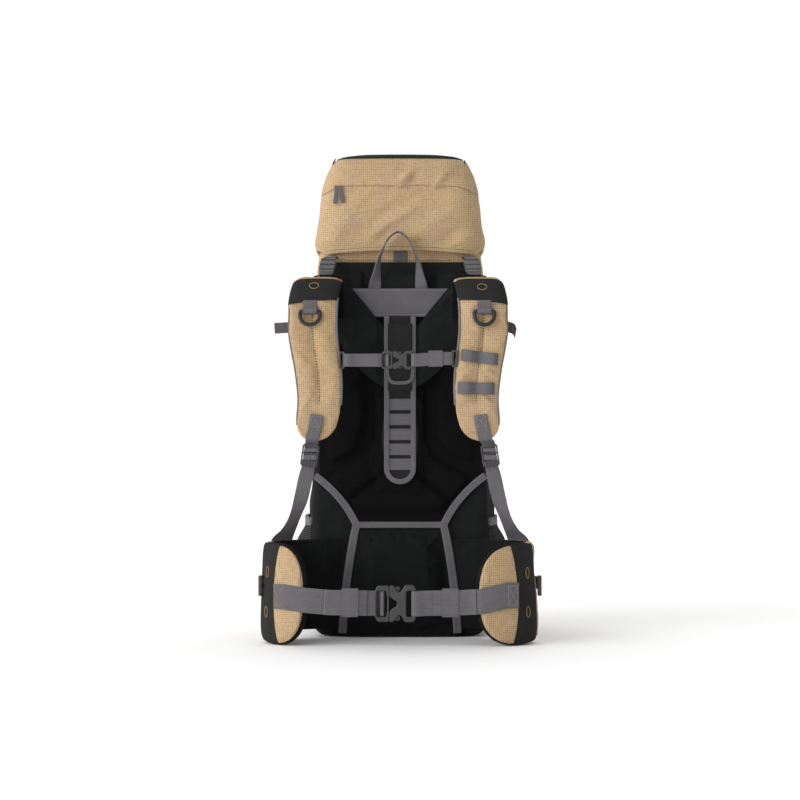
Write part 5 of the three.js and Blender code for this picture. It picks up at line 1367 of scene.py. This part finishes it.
class Wing:
    """One wing of the belt: places on it are given as shares of its length."""

    def __init__(self, side):
        self.side = side
        self.line = spline([*WING_START, *WING_END[side]], 400)[:, :2]
        self.run = lengths(self.line) / lengths(self.line)[-1]
        self.turn = unit(np.gradient(self.line, axis=0))
        self.arc = self.where(TIP_SEAM[side][0])

    def plan(self, along, offset):
        at, turn = pick(along, self.run, self.line), unit(pick(along, self.run, self.turn))
        return at + np.stack([-turn[..., 1], turn[..., 0]], -1) * np.asarray(offset)[..., None]

    def where(self, x):
        """Share of the length at which the covered outer face has come back in to x."""
        outer = self.plan(self.run, wing_thick(self.run) / 2 + GAP + CLOTH)[:, 0]
        widest = int(np.argmax(outer))
        return np.interp(-np.asarray(x), -outer[widest:], self.run[widest:])

    def seam(self, z):
        """Share of the length at which the tan tip begins, for each height."""
        x, curve = TIP_SEAM[self.side]
        return self.where(x - curve * (abs(z - 73) / 77) ** 2.2)

    def foot(self, along):
        return 14 - 13.5 * ease(0.35, 0.8, along)

    def span(self, along):
        share = np.clip((along - self.arc) / (1.006 - self.arc), 0, 1)
        half = (WING_TOP - TIP_MIDDLE) * (1 - share**TIP_POWER) ** (1 / TIP_POWER)
        return np.maximum(self.foot(along), TIP_MIDDLE - half), TIP_MIDDLE + half

    def place(self, along, offset, z):
        """Points in space; the belt leans in toward its top where it turns the hip."""
        xy = self.plan(along, offset)
        at_hip = ease(0.35, 0.55, along) * (1 - ease(0.7, 0.9, along))
        lean = WING_LEAN[self.side] * ease(20, 150, z) * at_hip
        return np.stack([self.side * (xy[..., 0] + lean), xy[..., 1], z], -1)

    def cover(self, first, last, z, puffed):
        """Front and back grids of a cover on the outer face, between two shares for each height."""
        share = np.linspace(0, 1, 44)
        along = first[:, None] + (last - first)[:, None] * share
        foot = self.foot(along)
        z = foot + (WING_TOP - foot) * (z[:, None] - 0.5) / (WING_TOP - 0.5)
        low, high = self.span(along)
        edge = wing_thick(along) / 2 * rounded_edge(np.clip((z - low) / (high - low), 0, 1))
        rows = np.linspace(0, 1, len(z))
        inside = np.minimum(np.minimum(share, 1 - share)[None], np.minimum(rows, 1 - rows)[:, None])
        lift = puffed * np.sqrt(np.clip(inside * 7, 0, 1))
        return [self.place(along, edge + GAP + CLOTH + lift, z), self.place(along, edge + GAP, z)]


wings = {side: Wing(side) for side in NAMES}
print("hip belt drawn")

# %% [markdown]
# Each wing is foam in black cloth, tan where it turns the hip. A dark band with two sewn eyelets and a puffed
# tan tip cover its outer face and meet along a curved seam.

# %% Wings, bands and tips
rise = (1 - np.cos(np.linspace(0, math.pi, 31))) / 2
bands = {}
for side, name in NAMES.items():
    wing = wings[side]
    round_tip = np.sin(np.linspace(0, math.pi / 2, 36))[1:]
    along = np.concatenate([np.linspace(0, wing.arc, 70), wing.arc + (1 - wing.arc) * round_tip])
    foot, top_z = wing.span(along)
    z = foot[:, None] + (top_z - foot)[:, None] * rise
    every = np.broadcast_to(along[:, None], z.shape)
    slant = side * (tape_x(z) + BESIDE_TAPE - TAPE_JOINT[0]) * (1 - ease(0, 0.3, every))
    faces = []
    for out in (1, -1):
        face = wing.place(every, out * wing_thick(every) / 2 * rounded_edge(rise), z)
        face[..., 0] += slant
        faces.append(face)
    rings = np.concatenate([faces[0], faces[1][:, ::-1]], axis=1)
    foam = make(f"belt_wing_{name}_foam", skin(rings), "soft", [f"belt_wing_{name}"], sharp=70)
    held = np.broadcast_to(np.tile((rise < 0.03) | (rise > 0.97), 2), rings.shape[:2]).copy()
    held[along < 0.06] = held[-3:] = True
    puff(foam, held.ravel(), pressure=3.0, cap=1.5)
    row, column = np.divmod(np.arange(len(foam.data.polygons)), rings.shape[1])
    row = np.minimum(row, len(along) - 1)
    two_sided(foam, "tan", (column < len(rise)) & (along[row] > 0.34) & (along[row] < 0.66))

    z = np.linspace(2, WING_TOP - 1.5, 48)
    seam = wing.seam(z)
    start = np.full(48, 0.56 if side == LEFT else wing.where(210))
    grids = wing.cover(start, seam, z, 0.2)
    band = bands[side] = make(f"belt_band_{name}_cloth", pillow(*grids), "dark", [f"belt_band_{name}"])

    z = TIP_MIDDLE + 73.5 * np.sin(np.linspace(-math.pi / 2, math.pi / 2, 48))
    seam = wing.seam(z) + 0.002
    reach = (1 - (abs(z - TIP_MIDDLE) / 74.6) ** TIP_POWER) ** (1 / TIP_POWER)
    edge = wing.arc + (wing.where(TIP_END[side]) - wing.arc) * reach
    grids = wing.cover(seam, np.maximum(edge, seam + 0.004), z, 2.6)
    tip = make(f"belt_tip_{name}_cloth", pillow(*grids), "tan", [f"belt_tip_{name}"])
    border = np.ones(grids[0].shape[:2], bool)
    border[2:-2, 2:-2] = False
    puff(tip, np.concatenate([border.ravel(), np.ones(border.size, bool)]), pressure=2.5, cap=1.6)

for side, x, z in ((LEFT, -202, 110.5), (LEFT, -204, 49.5), (RIGHT, 193.6, 109.5), (RIGHT, 194.7, 50.5)):
    level = "upper" if z > 76 else "lower"
    Drape(bands[side]).eyelet(f"belt_eyelet_{NAMES[side]}_{level}", x, z, (4.2, 8.2))
print("wings, bands and tips")

# %% [markdown]
# A stabiliser strap lies along the outer face of each wing and ends in a lock that stands on edge.

# %% Stabilisers
for side, name in NAMES.items():
    wing = wings[side]
    part = np.linspace(0.3, 0.565, 24)
    strap = wing.place(part, wing_thick(part) / 2 + 1.4 + 6 * ease(0.44, 0.53, part), np.full(24, 90.0))
    Strap(strap, (0, 0, 1), HARNESS_WEB).build(f"stabiliser_{name}_webbing", "web", [f"stabiliser_{name}"])
    plate, spin = lock_mesh(22, 31, 5.5, [(4, 11), (-11, -4)]), Matrix.Rotation(math.pi / 2, 4, "Z")
    place(f"stabiliser_lock_{name}", plate, (side * 214.4, -204, 87.6), "plastic", turn=spin)
print("stabilisers")

# %% [markdown]
# Webbing crosses each tip to the buckle. It is sewn to the tip with a boxed cross, its free end is folded
# back over it, and a keeper holds both layers.

# %% Hip webbing and buckle
WEB_RISE = {LEFT: (75, 71), RIGHT: (77, 69)}
H_X, H_Y, H_Z, H_LONG, H_THICK = -8.4, -271, 65.6, 62, 11
start, end = H_X - H_LONG / 2, H_X + H_LONG / 2
behind, front_y = H_Y + H_THICK / 2 + GAP + WEB / 2, H_Y - H_THICK / 2 - GAP - WEB / 2

for side, name in NAMES.items():
    wing = wings[side]
    part = np.linspace(wing.arc + (0.018 if side == LEFT else 0.007), 0.985, 7)
    lift = wing_thick(part) / 2 + 2 * GAP + CLOTH + WEB / 2 + 3.2
    on_tip = wing.place(part, lift, np.interp(part, part[[2, 6]], WEB_RISE[side]))
    if side == LEFT:
        path = [
            *on_tip, (-124, H_Y + 1.6, 68.6), (-108, H_Y + 1.6, 67.2), (-88, H_Y + 2, 66.8),
            (-64, H_Y + 3, 66.4), (start - 14, behind - 1, H_Z + 0.3), (start - 3, behind, H_Z),
            (start + 4, behind, H_Z), (start + 9, behind - 3.6, H_Z), (start + 10.6, H_Y - 1, H_Z),
            (start + 13.6, H_Y - 2.6, H_Z), (start + 15.4, H_Y + 1, H_Z),
        ]
    else:
        bar = end - 1
        path = [
            (end + 26, behind + 0.2, H_Z), (end + 2, behind, H_Z), (bar, behind, H_Z),
            (bar - 3.1, behind - 1.3, H_Z), (bar - 3.4, H_Y, H_Z), (bar - 3.1, front_y + 1.3, H_Z),
            (bar, front_y, H_Z), (end + 2, front_y, H_Z), (end + 12, front_y + 2.6, H_Z + 0.4),
            (64, H_Y - 1, 66.6), (90, H_Y - 0.4, 67), (107, H_Y + 0.4, 67.8), *on_tip[::-1],
        ]
    strap = Strap(path, (0, 0, 1), HIP_WEB, step=1.2)
    strap.build(f"hip_{name}_webbing", "web", [f"hip_web_{name}"])
    whole = strap.run[-1]
    first, last, thread = (2, 17, tan_line) if side == LEFT else (whole - 18, whole - 2.5, grey_line)
    strap.face = 1 if strap.out[5 * -side, 1] < 0 else -1
    strap.box_cross(thread, first, last, 14.5, pitch=3.0, wide=1.0, high=0.5)
    x, y, _ = strap.at.T
    doubled = (side * x > 50) & (side * x < 116) & (y < behind - 0.5)
    x, y = side * x[doubled][::side], y[doubled][::side]
    fold = Strap(strap.at[doubled] - (0, 1.9, 0), (0, 0, 1), HIP_WEB + 0.4)
    fold.build(f"hip_{name}_fold")
    if side == LEFT:
        fold.line(grey_line, (1.5, -18), (1.5, 18), pitch=2.4, share=0.9, wide=0.8, high=0.4)
    path = [(side * px, np.interp(px, x, y) - 0.9, 66.7) for px in (63.5, 76, 88)]
    Strap(path, (0, 0, 1), 43.5, 6.4).build(f"hip_keeper_{name}")

buckle("hip", (H_X, H_Y, H_Z), H_LONG, 54, H_THICK)
print("hip webbing and buckle")

# %% [markdown]
# A stretch pocket hangs on each side with a grey hem drawn in at its mouth, and the free ends of the
# side straps stand out above. These are plain sheets and strips.

# %% Side pockets and side straps
POCKET_FOOT, POCKET_HIGH, POCKET_NEAR, POCKET_DEEP = 16, 171, -103, 165
POCKET_PARTS = [  # label, first and last share of its height, rows, extra wall, look
    ("mesh", 0, 0.94, 48, 0.0, "pocket"), ("hem", 0.925, 1, 10, 1.2, "web"),
]
SIDE_STRAPS = {
    LEFT: [(-136.9, 20, 488), (-136.9, -30, 488), (-148, -62, 488.4), (-172, -78, 488), (-199, -84, 486.4)],
    RIGHT: [
        (136.9, 20, 488), (136.9, -30, 488), (150, -64, 489), (170, -76, 489), (180, -88, 485),
        (182.5, -98, 479),
    ],
}


def pocket_x(side, u, v):
    swell = np.sin(math.pi * v) ** 0.7 * ease(0, 0.06, u)
    drawn_in = 1 - 0.58 * ease(0.74, 0.95, u)
    return 138.5 + swell * (26 * ease(-0.1, 0.7, u) * drawn_in + (4 if side == RIGHT else 0))


v = np.linspace(0, 1, 44)[None]
for side, name in NAMES.items():
    node = f"side_pocket_{name}"
    for label, first, last, rows, wall, look in POCKET_PARTS:
        u = np.linspace(first, last, rows)[:, None]
        z = np.broadcast_to(POCKET_FOOT + POCKET_HIGH * u, (rows, v.size))
        y = np.broadcast_to(POCKET_NEAR + POCKET_DEEP * v, z.shape)
        x = pocket_x(side, u, v)
        grids = [np.stack([side * face, y, z], -1) for face in (x + CLOTH + wall, x - wall)]
        cloth = np.concatenate([np.dstack([z, y, 0 * y]).reshape(-1, 3)] * 2)
        piece = make(f"{node}_{label}", pillow(*grids), look, [node] if label == "mesh" else [], cloth=cloth)
        label == "mesh"

for side, path in SIDE_STRAPS.items():
    node = f"side_strap_{NAMES[side]}"
    Strap(path, (0, 0, 1), 17).build(f"{node}_webbing", "web", [node])

brown.build("lid_stitches", "brown_thread")
tan_line.build("tan_stitches", "tan_thread")
grey_line.build("grey_stitches", "grey_thread")
dark_line.build("dark_stitches", "dark_thread")
print("pockets, side straps and stitches")

# %% [markdown]
# The camera looks level, from straight ahead. A broad sun from the left gives the pack its form, a weak one
# overhead lifts its upper faces, and the room is brightest behind the pack, so the pale floor stays white
# around a soft contact shadow.

# %% Camera, floor and light
scene = bpy.context.scene
camera = bpy.data.objects.new("camera", bpy.data.cameras.new("camera"))
camera.data.lens, camera.data.sensor_width = 106.785, 36
camera.location, camera.rotation_euler = (0, -3.7746, 0.3726), (math.pi / 2, 0, 0)
scene.collection.objects.link(camera)
scene.camera = camera

paper = Finish("studio_floor", None, Roughness=0.95, Base_Color=(0.98, 0.98, 0.98, 1), Specular_IOR_Level=0.0)
bpy.ops.mesh.primitive_plane_add(size=60, location=(0, 0, 0))
floor = bpy.context.object
floor.name = "studio_floor"
floor.data.materials.append(paper.material)

for name, energy, toward in (("key", 2.55, (0.8, 0.55, -0.24)), ("overhead", 0.25, (0, 0, -1))):
    sun = bpy.data.objects.new(name, bpy.data.lights.new(name, "SUN"))
    sun.data.energy, sun.data.angle = energy, math.radians(60)
    sun.rotation_euler = Vector(toward).to_track_quat("-Z", "Y").to_euler()
    scene.collection.objects.link(sun)

scene.world = bpy.data.worlds.new("studio")
scene.world.use_nodes = True
room = Graph(scene.world.node_tree)
side, depth, up = room.split(room.node("ShaderNodeTexCoord", output="Generated"))
wall = 1 - up.ease(0.2, 0.42)
ceiling = 0.46 - side * 0.22 + depth.ease(0.1, 0.6) * 1.4
sides = 0.7 - side * 0.44
horizon = sides + (1.02 - sides) * depth.ease(0.6, 0.9)
background = room.tree.nodes["Background"]
room.tree.links.new((ceiling + (horizon - ceiling) * wall).socket, background.inputs["Strength"])
background.inputs["Color"].default_value = (1, 1, 1, 1)
scene.view_settings.view_transform = "Standard"
